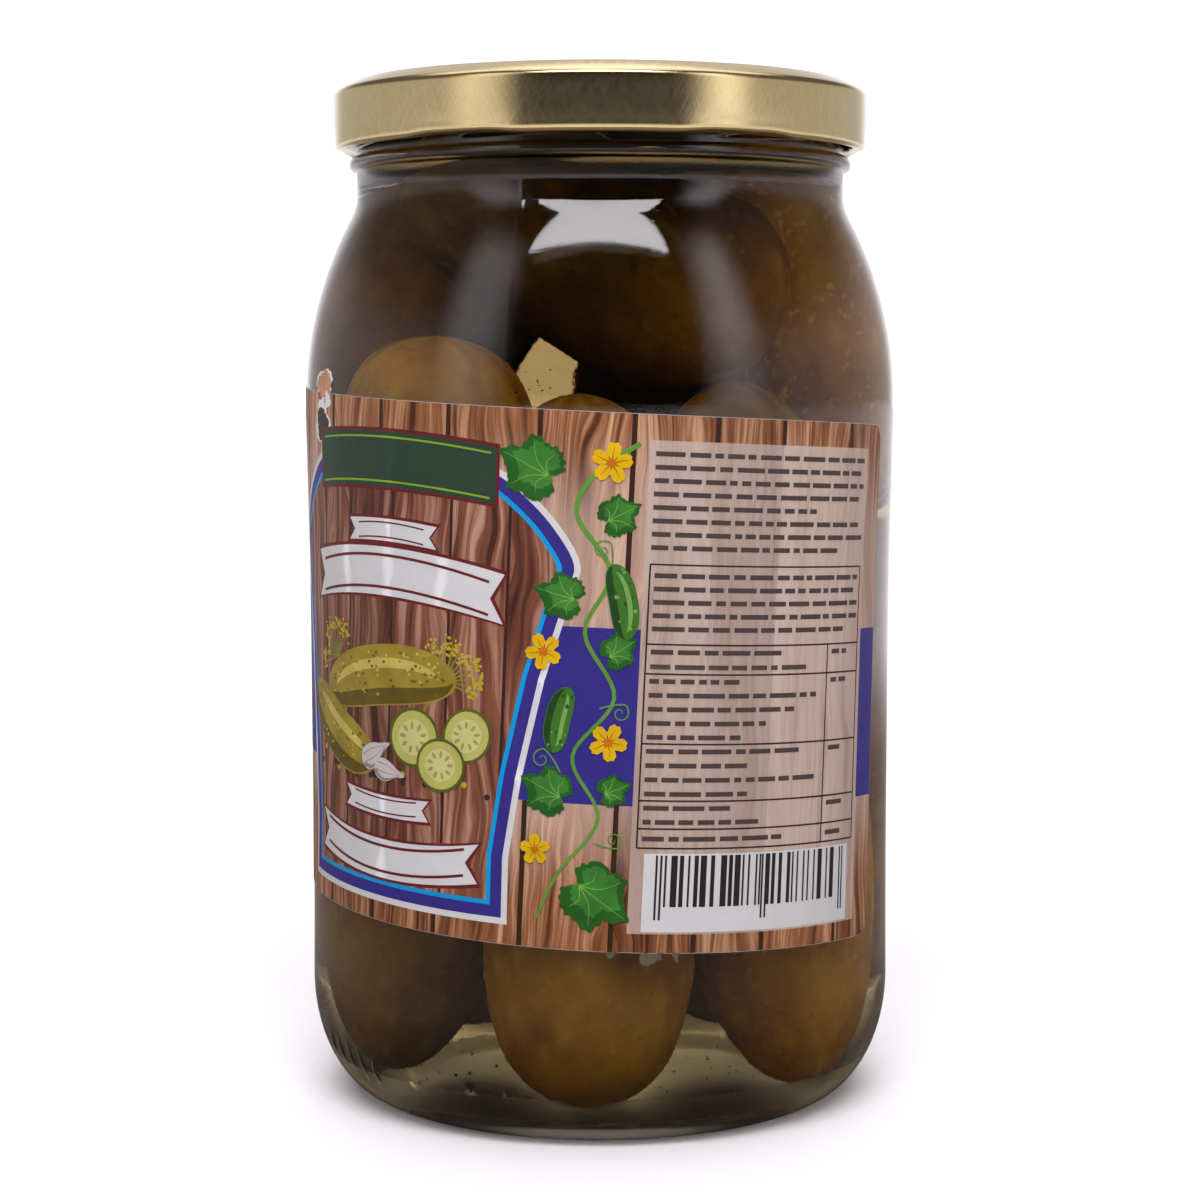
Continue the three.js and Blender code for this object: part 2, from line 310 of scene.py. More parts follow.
GLASS_TINT = (0.975, 0.985, 0.975, 1)
BRINE_COLOUR = (0.63, 0.478, 0.1, 1)
BRINE_DENSITY = 29.0
SKIN_DARK, SKIN_MIDDLE, SKIN_PALE = (0.25, 0.095, 0.006, 1), (0.43, 0.18, 0.01, 1), (0.58, 0.285, 0.018, 1)
SKIN_STREAK, SKIN_SPECK = (0.68, 0.39, 0.03, 1), (0.2, 0.08, 0.006, 1)
SKIN_WART, SKIN_FLECK = (0.8, 0.45, 0.05, 1), (1.0, 0.52, 0.06, 1)
SPICE = (0.06, 0.03, 0.01, 1)
GOLD_DARK, GOLD_LIGHT = (0.6, 0.47, 0.235, 1), (0.65, 0.52, 0.275, 1)
SCORED_DARK, SCORED_LIGHT = (0.92, 0.92, 0.92, 1), (1.07, 1.07, 1.07, 1)
FLOOR_DARK, FLOOR_LIGHT = (0.92, 0.92, 0.93, 1), (0.94, 0.94, 0.95, 1)
BESIDE_JAR, AWAY_FROM_JAR = (0.1, 0.09, 0.08, 1), (0.25, 0.22, 0.19, 1)
WASHED_WOOD = ink(190, 160, 154)
WOOD_EDGE = (0.86, 0.74, 0.62, 1)


def glass_material(name, refraction, roughness=0.0, peel=0.02):
    """Clear container glass with a faint grey-green tint, and slightly uneven from the mould."""
    material, tree, shader, _ = new_material(
        name, Base_Color=GLASS_TINT, Roughness=roughness, IOR=refraction, Transmission_Weight=1.0)
    place = object_place(tree)
    ripple = noise(tree, scaled(tree, place, (1, 1, 0.6)), 110, 2)
    orange_peel = noise(tree, place, 2200, 2)
    bumped(tree, shader, plus(tree, ripple, times(tree, orange_peel, peel)), 0.35, 0.0002)
    return material


def brine_material():
    """Clear yellow-brown liquid: the longer the way through it, the deeper its colour. The wetted face of the
    glass bends the light between glass and brine, so the brine's own face, inside the wall, bends none."""
    material, tree, _, output = new_material(
        "pickle_brine", Base_Color=WHITE, Roughness=0.0, IOR=1.0, Transmission_Weight=1.0)
    absorption = add_node(tree, "VolumeAbsorption", Color=BRINE_COLOUR, Density=BRINE_DENSITY)
    fill(tree, output.inputs["Volume"], absorption.outputs[0])
    return material


def pickle_material():
    """Skin of a brined cucumber: olive brown, blotched, with paler streaks, warts and golden flecks, darkened
    and lightened along each pickle as painted shade and light.
    """
    material, tree, shader, _ = new_material(
        "pickle_skin", Roughness=0.6, Specular_IOR_Level=0.0, Subsurface_Weight=0.2,
        Subsurface_Radius=(0.005, 0.003, 0.001), Subsurface_Scale=0.6)
    local = attribute(tree, "pickle_place", "Vector")
    blotch = noise(tree, local, 0.7, 4, 0.6)
    skin = ramp(tree, blotch, (0.28, SKIN_DARK), (0.48, SKIN_MIDDLE), (0.72, SKIN_PALE))
    fibres = noise(tree, scaled(tree, local, (1, 1, 0.12)), 5.0, 3)
    streaked = maths(tree, "MULTIPLY", attribute(tree, "streak"), fibres, clamp=True)
    skin = mixed(tree, streaked, skin, SKIN_STREAK)
    specked = times(tree, mask(tree, noise(tree, local, 5.0, 2), 0.62, 0.72), 0.35)
    skin = mixed(tree, specked, skin, SKIN_SPECK)
    skin = mixed(tree, maths(tree, "MULTIPLY", attribute(tree, "wart"), 0.5, clamp=True), skin, SKIN_WART)
    dots = mask(tree, noise(tree, local, 6.5, 3, 0.6), 0.56, 0.66)
    patches = mask(tree, noise(tree, local, 1.1, 1), 0.42, 0.6)
    skin = mixed(tree, times(tree, dots, patches, attribute(tree, "fleck")), skin, SKIN_FLECK)
    # Painted shade and light: each pickle's skin is darkened high up under the lid and among the other
    # pickles, and lightened low on the right
    skin = mixed(tree, 1.0, skin, attribute(tree, "tone"), "MULTIPLY")
    fill(tree, shader.inputs["Base Color"], skin)
    wrinkle = noise(tree, scaled(tree, local, (1, 1, 0.35)), 4.0, 4, 0.6)
    bumped(tree, shader, wrinkle, 0.35, 0.0006)
    return material


def lid_material():
    """Gold-lacquered tinplate, satin, with fine crossing scratches from its rolling and handling."""
    material, tree, shader, _ = new_material(
        "gold_tinplate", Metallic=1.0, Coat_Weight=0.1, Coat_Roughness=0.3)
    place = object_place(tree)
    x, y, z = split(tree, place)
    # The scratches run round the skirt and straight across the top
    on_top = maths(tree, "GREATER_THAN", z, (LID_TOP - 1.0) * MM)
    azimuth = times(tree, maths(tree, "ARCTAN2", x, y), LID_RADIUS * MM)
    along = maths(tree, "MULTIPLY_ADD", on_top, maths(tree, "SUBTRACT", x, azimuth), azimuth)
    rise = maths(tree, "MULTIPLY_ADD", on_top, maths(tree, "SUBTRACT", y, z), z)
    hatches = []
    for lean in (0.55, -0.55):
        slanted = combined(tree, plus(tree, along, times(tree, rise, lean)), times(tree, rise, 0.08),
                           times(tree, y, 0.05))
        hatches.append(noise(tree, slanted, 4200, 2, 0.6))
    hatch = maths(tree, "MAXIMUM", *hatches)
    colour = ramp(tree, noise(tree, place, 60, 3), (0.3, GOLD_DARK), (0.7, GOLD_LIGHT))
    scored = ramp(tree, hatch, (0.45, SCORED_DARK), (0.75, SCORED_LIGHT))
    fill(tree, shader.inputs["Base Color"], mixed(tree, 1.0, colour, scored, "MULTIPLY"))
    rough = add_node(tree, "MapRange", Value=hatch, From_Min=0.4, From_Max=0.75, To_Min=0.16, To_Max=0.21)
    fill(tree, shader.inputs["Roughness"], rough.outputs[0])
    grain = noise(tree, scaled(tree, place, (1, 1, 1.6)), 1300, 3, 0.6)
    bumped(tree, shader, plus(tree, times(tree, grain, 0.5), hatch), 0.07, 0.00005)
    return material


def paper_material(name):
    """Coated paper, faintly glossy and with a fine tooth. Returns it, its tree, shader and flat place."""
    material, tree, shader, _ = new_material(name, Roughness=PRINT_ROUGHNESS, Specular_IOR_Level=PRINT_SHEEN)
    flat = add_node(tree, "UVMap", uv_map="flat").outputs["UV"]
    bumped(tree, shader, noise(tree, flat, 500, 2), 0.12, 0.00002)
    return material, tree, shader, flat


def print_material(name, colour, vary=0.08):
    """Ink on coated paper: one colour, slightly uneven."""
    material, tree, shader, flat = paper_material(name)
    low = tuple(c * (1 - vary) for c in colour[:3]) + (1,)
    high = tuple(min(1, c * (1 + vary)) for c in colour[:3]) + (1,)
    fill(tree, shader.inputs["Base Color"], ramp(tree, noise(tree, flat, 22, 3), (0.3, low), (0.7, high)))
    return material


def plank_material(name, dark, middle, pale, contrast, fade=False):
    """Printed wood: boards of upright grain, each a little different, from dark lines to pale wood."""
    material, tree, shader, flat = paper_material(name)
    board = attribute(tree, "board")
    across, up, _ = split(tree, flat)
    place = combined(tree, across, up, times(tree, board, 3.7))
    sway = maths(tree, "SUBTRACT", noise(tree, scaled(tree, place, (9, 3.2, 1)), 1.0, 2), 0.5)
    shift = combined(tree, times(tree, sway, 0.10))
    bent = add_node(tree, "VectorMath", place, shift, operation="ADD").outputs[0]
    broad = noise(tree, scaled(tree, bent, (62, 2.6, 1)), 1.0, 2, 0.5)
    fine = noise(tree, scaled(tree, bent, (190, 5, 1)), 1.0, 3, 0.6)
    grain = plus(tree, times(tree, broad, 0.62), times(tree, fine, 0.38))
    half = contrast / 2
    wood = ramp(tree, grain, (0.5 - half, dark), (0.5, middle), (0.5 + half, pale))
    per_board = add_node(tree, "TexWhiteNoise", noise_dimensions="1D", W=board)
    tint = add_node(tree, "MapRange", Value=per_board.outputs["Value"], To_Min=0.78, To_Max=1.12)
    wood = mixed(tree, 1.0, wood, tint.outputs[0], "MULTIPLY")
    if fade:
        # Pale in the middle of the label's height, browner towards its upper and lower edge
        edge = maths(tree, "ABSOLUTE", plus(tree, up, -0.03))
        browner = eased(tree, plus(tree, edge, times(tree, sway, 0.12)), 0.2, 0.36)
        washed = mixed(tree, 0.55, wood, WASHED_WOOD)
        deeper = mixed(tree, 1.0, wood, WOOD_EDGE, "MULTIPLY")
        wood = mixed(tree, browner, washed, deeper)
    fill(tree, shader.inputs["Base Color"], wood)
    return material


def floor_material():
    """Pale floor. Near the jar it throws less light back than it shows, which keeps the jar's inside deep."""
    material, tree, shader, _ = new_material("pale_floor", Roughness=0.9, Specular_IOR_Level=0.1)
    place = object_place(tree)
    colour = ramp(tree, noise(tree, place, 3, 2), (0.3, FLOOR_DARK), (0.7, FLOOR_LIGHT))
    distance = add_node(tree, "VectorMath", place, operation="LENGTH").outputs["Value"]
    beside = ramp(tree, distance, (0.06, BESIDE_JAR), (0.14, AWAY_FROM_JAR))
    dim = mixed(tree, 1.0, colour, beside, "MULTIPLY")
    far = eased(tree, distance, 0.35, 0.8)
    seen = maths(tree, "MAXIMUM", add_node(tree, "LightPath").outputs["Is Camera Ray"], far)
    fill(tree, shader.inputs["Base Color"], mixed(tree, seen, dim, colour))
    return material


# Meshes

def make_object(name, vertices, faces, material):
    """A mesh object from millimetre vertices."""
    mesh = bpy.data.meshes.new(name)
    mesh.from_pydata((np.asarray(vertices, float) * MM).tolist(), [], faces)
    mesh.materials.append(material)
    mesh.polygons.foreach_set("use_smooth", [True] * len(mesh.polygons))
    mesh.update()
    piece = bpy.data.objects.new(name, mesh)
    bpy.context.scene.collection.objects.link(piece)
    return piece


def arc(centre_radius, centre_height, radial, vertical, start, end, steps):
    """Points of an elliptical arc, angles from the outward radial direction, both ends included."""
    angles = np.linspace(start, end, steps + 1)
    return [(centre_radius + radial * math.cos(a), centre_height + vertical * math.sin(a)) for a in angles]


def dish(edge_radius, edge_height, rise, steps):
    """Half a shallow dome: points from the axis to just before its edge."""
    radii = np.linspace(0, edge_radius, steps + 1)[:-1]
    return [(r, edge_height + rise * (1 - (r / edge_radius) ** 2)) for r in radii]


def refined(profile, step):
    """The profile with long stretches cut into pieces no longer than step."""
    points = [profile[0]]
    for (r0, z0), (r1, z1) in zip(profile, profile[1:]):
        pieces = max(1, math.ceil(math.hypot(r1 - r0, z1 - z0) / step))
        points += [(r0 + (r1 - r0) * k / pieces, z0 + (z1 - z0) * k / pieces) for k in range(1, pieces + 1)]
    return points


def even(count):
    """Azimuths of that many equal steps round the axis."""
    return np.arange(count) / count * TAU


def closed_rows(rows, around):
    """Faces of a closed surface of rings, whose first and last points follow after the rings' points."""
    faces = []
    first, last = rows * around, rows * around + 1
    for k in range(around):
        nxt = (k + 1) % around
        faces.append((first, nxt, k))
        faces.append((last, (rows - 1) * around + k, (rows - 1) * around + nxt))
        for low in range(0, (rows - 1) * around, around):
            faces.append((low + k, low + nxt, low + around + nxt, low + around + k))
    return faces


def turned(name, profile, azimuths, material, relief=None):
    """Turns a profile, which starts and ends on the jar's axis, round that axis. relief moves points off the
    turned form."""
    radius = np.array([p[0] for p in profile[1:-1]])[:, None]
    height = np.array([p[1] for p in profile[1:-1]])[:, None]
    radius, height, azimuth = np.broadcast_arrays(radius, height, azimuths[None, :])
    if relief is not None:
        radius, height = relief(radius, height, azimuth)
    rings = np.stack([radius * np.sin(azimuth), -radius * np.cos(azimuth), height], axis=-1)
    vertices = np.concatenate([rings.reshape(-1, 3), [(0, 0, profile[0][1]), (0, 0, profile[-1][1])]])
    return make_object(name, vertices, closed_rows(len(rings), len(azimuths)), material)


def smoothstep(value, low, high):
    share = np.clip((value - low) / (high - low), 0, 1)
    return share * share * (3 - 2 * share)


def turn_gap(azimuth, centre):
    """Angle between azimuths, from -pi to pi."""
    return (azimuth - centre + math.pi) % TAU - math.pi


# Glass

def panel_curve(steps):
    """The side of the glass between heel and shoulder: a smooth line through the panel's points."""
    heights = [HEEL_HEIGHT] + [p[0] for p in PANEL] + [BODY_RADIUS_HEIGHT]
    radii = [HEEL_RADIUS] + [p[1] for p in PANEL] + [BODY_RADIUS]
    slopes = np.gradient(radii, heights)
    slopes[0] = slopes[-1] = 0
    points = []
    for z in np.linspace(HEEL_HEIGHT, BODY_RADIUS_HEIGHT, steps + 1):
        k = min(int(np.searchsorted(heights, z, side="right")) - 1, len(heights) - 2)
        span = heights[k + 1] - heights[k]
        t = (z - heights[k]) / span
        points.append((
            radii[k] * (1 + 2 * t) * (1 - t) ** 2 + slopes[k] * span * t * (1 - t) ** 2
            + radii[k + 1] * t * t * (3 - 2 * t) + slopes[k + 1] * span * t * t * (t - 1), z))
    return points


def glass_side():
    """Outer face of the glass from its foot ring up to the neck: heel, panel, shoulder and fillet."""
    fillet_height = BODY_RADIUS_HEIGHT + (SHOULDER_ARC + NECK_FILLET) * math.sin(SHOULDER_ANGLE)
    return (
        arc(FOOT_OUTER_RADIUS, HEEL_HEIGHT, HEEL_RADIUS - FOOT_OUTER_RADIUS, HEEL_HEIGHT,
            -math.pi / 2, 0, 44)[:-1]
        + panel_curve(36)[:-1]
        + arc(BODY_RADIUS - SHOULDER_ARC, BODY_RADIUS_HEIGHT, SHOULDER_ARC, SHOULDER_ARC,
              0, SHOULDER_ANGLE, 24)
        + arc(NECK_RADIUS + NECK_FILLET, fillet_height, NECK_FILLET, NECK_FILLET,
              math.pi + SHOULDER_ANGLE, math.pi, 10)[1:]
    )


SIDE = np.array(glass_side())


def glass_radius(height):
    return np.interp(height, SIDE[:, 1], SIDE[:, 0])


def glass_inside():
    """Inner face of the glass, from the mouth down to the axis at the base."""
    inner_arc = SHOULDER_ARC - WALL
    return (
        refined([(MOUTH_RADIUS, BEAD_HEIGHT - 2), (MOUTH_RADIUS, INNER_NECK_HEIGHT)], 1.5)
        + arc(BODY_RADIUS - SHOULDER_ARC, BODY_RADIUS_HEIGHT, inner_arc, inner_arc,
              INNER_SHOULDER_ANGLE, 0, 22)
        + refined([(BODY_RADIUS - WALL, BODY_RADIUS_HEIGHT - 3), (HEEL_RADIUS - WALL, 62),
                   (HEEL_RADIUS - WALL, INNER_HEEL_HEIGHT + 2)], 3)
        + arc(INNER_FOOT_RADIUS, INNER_HEEL_HEIGHT, HEEL_RADIUS - WALL - INNER_FOOT_RADIUS,
              INNER_HEEL_HEIGHT - BASE_THICKNESS, 0, -math.pi / 2, 22)
        + dish(INNER_FOOT_RADIUS, BASE_THICKNESS, INNER_PUSH_UP, 10)[::-1]
    )


# Marks that the mould leaves on the heel: [azimuth in degrees, height, half width, half height, depth]
MOULD_MARKS = (
    [[-68 + 4.3 * k, 10.6 - 0.5 * k, 0.45, 1.6, 0.22] for k in range(5)]
    + [[-39.5, 9.0, 0.7, 0.9, 0.14], [-25.6, 9.1, 0.8, 0.65, 0.14], [-18, 9.0, 0.5, 0.4, 0.12]]
)
# Azimuths in degrees of the seam of the two mould halves, and the height of the parting line
SEAMS = (-17, 163)
PARTING_HEIGHT = 147.4
GLASS_SEGMENTS = 240
# Phases, round the jar and up it, of the waves that make the pressed glass uneven
WAVES = np.random.default_rng(11).uniform(0, TAU, (14, 2))


def wall_waves(height, azimuth):
    """Slow unevenness of pressed glass, from -1 to 1."""
    wave = np.zeros_like(azimuth)
    for k, (one, two) in enumerate(WAVES):
        wave = wave + np.sin((1 + k % 5) * azimuth + one) * np.sin(height * (0.035 + 0.02 * k) + two)
    return wave / len(WAVES)


def inner_waves(height, azimuth):
    """How far the inner wall stands off its turned form: it is even again at the base and the neck."""
    on_wall = smoothstep(height, 8, 24) * (1 - smoothstep(height, 140, 150))
    return INNER_WAVE * wall_waves(height, azimuth) * on_wall


def glass_relief(radius, height, azimuth):
    """Thread, mould marks, seam and the unevenness of pressed glass."""
    outer = np.arange(radius.shape[0])[:, None] < OUTER_ROWS
    # Thread: each ridge climbs over its share of the turn and sinks into the wall at both ends
    turn = (azimuth - THREAD_START) % TAU * THREAD_COUNT / TAU % 1
    crest = THREAD_LOW + THREAD_RISE * turn
    ends = smoothstep(turn, 0.0, 0.09) * (1 - smoothstep(turn, 0.83, 0.97))
    ridge = np.clip(1 - np.abs(height - crest) / (THREAD_HALF_HEIGHT + 0.15), 0, 1)
    ridge = THREAD_PROUD * smoothstep(ridge, 0.0, 0.75) * ends
    # Heel marks
    marks = np.zeros_like(radius)
    for degrees, up, half_wide, half_high, depth in MOULD_MARKS:
        off = turn_gap(azimuth, math.radians(degrees)) * radius / half_wide
        rise = (height - up) / half_high
        marks = marks + depth * np.exp(-(off ** 4 + rise ** 4))
    # Seam of the two mould halves, and the parting line under the neck ring
    seam = 0.04 * np.exp(-((height - PARTING_HEIGHT) / 0.3) ** 2)
    for degrees in SEAMS:
        line = np.exp(-(turn_gap(azimuth, math.radians(degrees)) * radius / 0.4) ** 2)
        seam = seam + line * (0.008 + 0.05 * smoothstep(height, 136, 142))
    # Knurled foot ring
    knurl = 0.12 * np.maximum(0, np.sin(azimuth * 110)) * ((height < 0.25) & (radius > FOOT_INNER_RADIUS))
    outside = ridge + marks * (height < 16) + seam * (height > 14) * (height < 152)
    outside = outside + OUTER_WAVE * wall_waves(height, azimuth)
    radius = radius + np.where(outer, outside, inner_waves(height, azimuth))
    return radius, height + np.where(outer, knurl, 0)


def glass_outside():
    """Outer face of the glass, from the axis under its base up and over the rounded mouth."""
    finish_ends = [(NECK_RADIUS, BEAD_HEIGHT + BEAD_ROUND + 0.05), (NECK_RADIUS, MOUTH_HEIGHT - MOUTH_ROUND)]
    finish = refined(finish_ends, 0.16)
    return (
        dish(FOOT_INNER_RADIUS - 0.6, 0.35, PUSH_UP - 0.35, 14)
        + [(FOOT_INNER_RADIUS - 0.3, 0.15), (FOOT_INNER_RADIUS, 0.03)]
        + refined([(FOOT_INNER_RADIUS + 0.4, 0.0), (FOOT_OUTER_RADIUS - 0.2, 0.0)], 0.6)
        + glass_side()
        + arc(NECK_RADIUS, BEAD_HEIGHT, BEAD_ROUND, BEAD_ROUND, -math.pi / 2, math.pi / 2, 14)
        + finish
        + arc(NECK_RADIUS - MOUTH_ROUND, MOUTH_HEIGHT - MOUTH_ROUND, MOUTH_ROUND, MOUTH_ROUND, 0, math.pi, 10)
    )


# The outer face ends half way over the rounded mouth
OUTER_ROWS = len(glass_outside()) - 6


def glass_azimuths():
    """Azimuths of the glass mesh, closer together across the mould marks and the seams."""
    fine = [np.arange(low, high, 0.25) for low, high in ((-70, -49), (-42, -15.5), (161.5, 164.5))]
    return np.unique(np.concatenate([even(GLASS_SEGMENTS), np.radians(np.concatenate(fine)) % TAU]).round(5))


def glass_jar():
    profile = glass_outside() + glass_inside()
    profile[0] = (0, PUSH_UP)
    profile[-1] = (0, BASE_THICKNESS + INNER_PUSH_UP)
    azimuths = glass_azimuths()
    outer_glass = glass_material("clear_container_glass", GLASS_REFRACTION, peel=0.08)
    piece = turned("jar_glass", profile, azimuths, outer_glass, glass_relief)
    wetted = GLASS_REFRACTION / BRINE_REFRACTION
    piece.data.materials.append(glass_material("wetted_glass", wetted))
    piece.data.materials.append(glass_material("stippled_glass_base", wetted, 0.3))
    inside = len(glass_outside()) - 2
    for face in piece.data.polygons:
        rows = [corner // len(azimuths) for corner in face.vertices]
        if min(rows) >= inside:
            across = math.hypot(face.center.x, face.center.y)
            on_base = face.center.z < STIPPLE_HEIGHT * MM and across < STIPPLE_RADIUS * MM
            face.material_index = 2 if on_base else 1
    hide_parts("glass_jar")
    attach(piece, "root")


# Brine

def brine():
    """The liquid that fills the jar and reaches just into its wall."""
    # The glass's inner face, moved outwards, and on the base and low on the heel also down
    inside = [(r + BRINE_INTO_WALL if r > 1 else r, z - (BRINE_INTO_WALL if z < 12 else 0))
              for r, z in glass_inside()[::-1]]
    top = [(MOUTH_RADIUS + BRINE_INTO_WALL, BEAD_HEIGHT), (MOUTH_RADIUS + 0.9, BRINE_LEVEL), (0, BRINE_LEVEL)]
    profile = inside + refined(top, 3)
    profile[0] = (0, profile[0][1])

    def follow_wall(radius, height, azimuth):
        return radius + inner_waves(height, azimuth) * (radius > 30), height

    piece = turned("brine", profile, even(192), brine_material(), follow_wall)
    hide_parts("pickles")
    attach(piece, "root")


# Pickles

WARTS_PER_SQUARE_MM = 0.011


def pickle_warts(draw, pickle, length, share, angle):
    """How far up a wart each point of the skin is, from 0 to 1. A point has a share of the half length and an
    angle round the pickle."""
    wart = np.zeros_like(share)
    for _ in range(int(WARTS_PER_SQUARE_MM * TAU * pickle.radius * length)):
        at_share, at_angle = draw.uniform(-0.96, 0.96), draw.uniform(0, TAU)
        width = draw.uniform(0.9, 1.7)
        off = turn_gap(angle, at_angle) * pickle.radius
        run = (share - at_share) * length / 2
        bump = np.exp(-(off ** 2 + (run / 1.25) ** 2) / width ** 2)
        wart = np.maximum(wart, draw.uniform(0.35, 1.0) * bump)
    return wart


def one_pickle(pickle, seed, around=84, along=112):
    """Vertices, faces, marks and skin places of one pickle: a blunt, slightly lobed spindle with warts."""
    draw = np.random.default_rng(seed)
    foot, tip = np.array(pickle.foot, float), np.array(pickle.tip, float)
    length = np.linalg.norm(tip - foot)
    axis = (tip - foot) / length
    side = np.cross(axis, (0.0, 1.0, 0.0) if abs(axis[1]) < 0.9 else (1.0, 0.0, 0.0))
    side /= np.linalg.norm(side)
    other = np.cross(axis, side)
    share = -np.cos(np.pi * np.arange(1, along) / along)[:, None]
    angle = even(around)[None, :]
    share, angle = np.broadcast_arrays(share, angle)
    radius = pickle.radius * np.sqrt(1 - np.abs(share) ** np.where(share < 0, *pickle.blunt))
    body = np.sqrt(np.clip(1 - share ** 2, 0, 1))
    phase = draw.uniform(0, TAU, 6)
    lobes = 0.25 * np.cos(3 * angle + phase[0]) + 0.18 * np.cos(2 * angle + phase[1] + share)
    furrows = 0.10 * np.sin(11 * angle + phase[2] + 1.5 * np.sin(3 * share + phase[3]))
    swell = 0.3 * np.sin(4.2 * share + phase[4]) + 0.2 * np.sin(9 * share + phase[5] + angle)
    radius = radius + (lobes + furrows + swell) * body
    wart = pickle_warts(draw, pickle, length, share, angle)
    radius = radius + 0.5 * wart * body
    outward = np.array([(foot + tip)[0], (foot + tip)[1], 0.0])
    outward /= max(np.linalg.norm(outward), 1e-6)
    middle = (foot + tip) / 2
    ring = (
        middle + share[..., None] * axis * length / 2
        + (radius * np.cos(angle))[..., None] * side + (radius * np.sin(angle))[..., None] * other
        + (pickle.bow * (1 - share ** 2))[..., None] * outward
    )
    vertices = np.concatenate([ring.reshape(-1, 3), [foot, tip]])
    stripes = np.cos(7 * angle + phase[3] + 1.9 * np.sin(2 * angle + phase[0]) + 1.5 * np.sin(2 * share))
    streak = smoothstep(share, -0.1, 0.95) * (0.45 + 0.35 * stripes)
    # Where the skin's pattern is read, in centimetres: elsewhere for each pickle, so that no two look alike
    local = np.stack([radius * np.cos(angle), radius * np.sin(angle), share * length / 2], axis=-1) / 10
    local = local + seed * 7.0
    # Painted shade and light along the pickle, from its foot through its middle to its tip
    at_foot, at_middle, at_tip = pickle.tones
    tone = at_middle + (np.where(share < 0, at_foot, at_tip) - at_middle) * share ** 2
    fleck = np.full_like(radius, pickle.flecks)
    marks = {"wart": wart, "streak": streak, "tone": tone, "fleck": fleck}
    for key, field in marks.items():
        marks[key] = np.concatenate([field.reshape(-1), [field[0, 0], field[-1, 0]]])
    place = np.concatenate([local.reshape(-1, 3), [local[0, 0], local[-1, 0]]])
    return vertices, closed_rows(along - 1, around), marks, place


def pickles():
    vertices, faces, places, marks = [], [], [], {}
    offset = 0
    for seed, pickle in enumerate(PICKLES):
        some, quads, fields, place = one_pickle(pickle, seed + 1)
        vertices.append(some)
        faces += [tuple(i + offset for i in face) for face in quads]
        for key, values in fields.items():
            marks.setdefault(key, []).append(values)
        places.append(place)
        offset += len(some)
    piece = make_object("pickles_whole", np.concatenate(vertices), faces, pickle_material())
    for key, values in marks.items():
        piece.data.attributes.new(key, "FLOAT", "POINT").data.foreach_set("value", np.concatenate(values))
    field = piece.data.attributes.new("pickle_place", "FLOAT_VECTOR", "POINT")
    field.data.foreach_set("vector", np.concatenate(places).reshape(-1))
    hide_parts("pickles")
    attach(piece, "root")


FLOATING_SPECKS, LYING_SPECKS = 16, 120
SPECK_CLOUD = (-0.2, 115.5)
LYING_REACH = 36.0


def specks():
    """Fine bits of spice: some float in the brine round the azimuth and height of SPECK_CLOUD, the rest lies
    on the jar's bottom."""
    draw = np.random.default_rng(21)
    corners = np.array([(1, 0, 0), (-1, 0, 0), (0, 1, 0), (0, -1, 0), (0, 0, 1), (0, 0, -1)], float)
    sides = [(0, 2, 4), (2, 1, 4), (1, 3, 4), (3, 0, 4), (2, 0, 5), (1, 2, 5), (3, 1, 5), (0, 3, 5)]
    vertices, faces = [], []
    for k in range(FLOATING_SPECKS + LYING_SPECKS):
        if k < FLOATING_SPECKS:
            azimuth, reach = draw.normal(SPECK_CLOUD[0], 0.05), draw.uniform(42, 44)
            up = draw.normal(SPECK_CLOUD[1], 3.0)
        else:
            azimuth, reach = draw.uniform(0, TAU), LYING_REACH * math.sqrt(draw.uniform(0.05, 1))
            up = BASE_THICKNESS + 0.4 + INNER_PUSH_UP * max(0, 1 - (reach / INNER_FOOT_RADIUS) ** 2)
        size = draw.uniform(0.08, 0.2) * np.array([draw.uniform(0.7, 1.5), 1, draw.uniform(0.6, 1.2)])
        place = np.array([reach * math.sin(azimuth), -reach * math.cos(azimuth), up])
        faces += [tuple(i + len(vertices) for i in side) for side in sides]
        vertices += list(corners * size + place)
    material = new_material("spice_specks", Base_Color=SPICE, Roughness=0.7)[0]
    piece = make_object("spice_specks", vertices, faces, material)
    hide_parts("pickles")
    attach(piece, "root")


# Lid

def lid_relief(radius, height, azimuth):
    """Six lugs pressed inwards from the rolled edge, which draw the lower skirt in a little above them."""
    off = np.abs(turn_gap(azimuth * LUG_COUNT, LUG_START * LUG_COUNT)) / LUG_COUNT
    share = 1 - smoothstep(off, LUG_HALF_WIDTH * 0.7, LUG_HALF_WIDTH * 1.6)
    low = 1 - smoothstep(height, LID_BOTTOM + 1.6, LID_BOTTOM + 3.4)
    inner = (radius < LID_RADIUS - 0.35) * (height < LID_BOTTOM + 2.2)
    radius = radius - share * low * np.where(inner, LUG_DEPTH, 0.12)
    return radius, height + share * low * 0.3


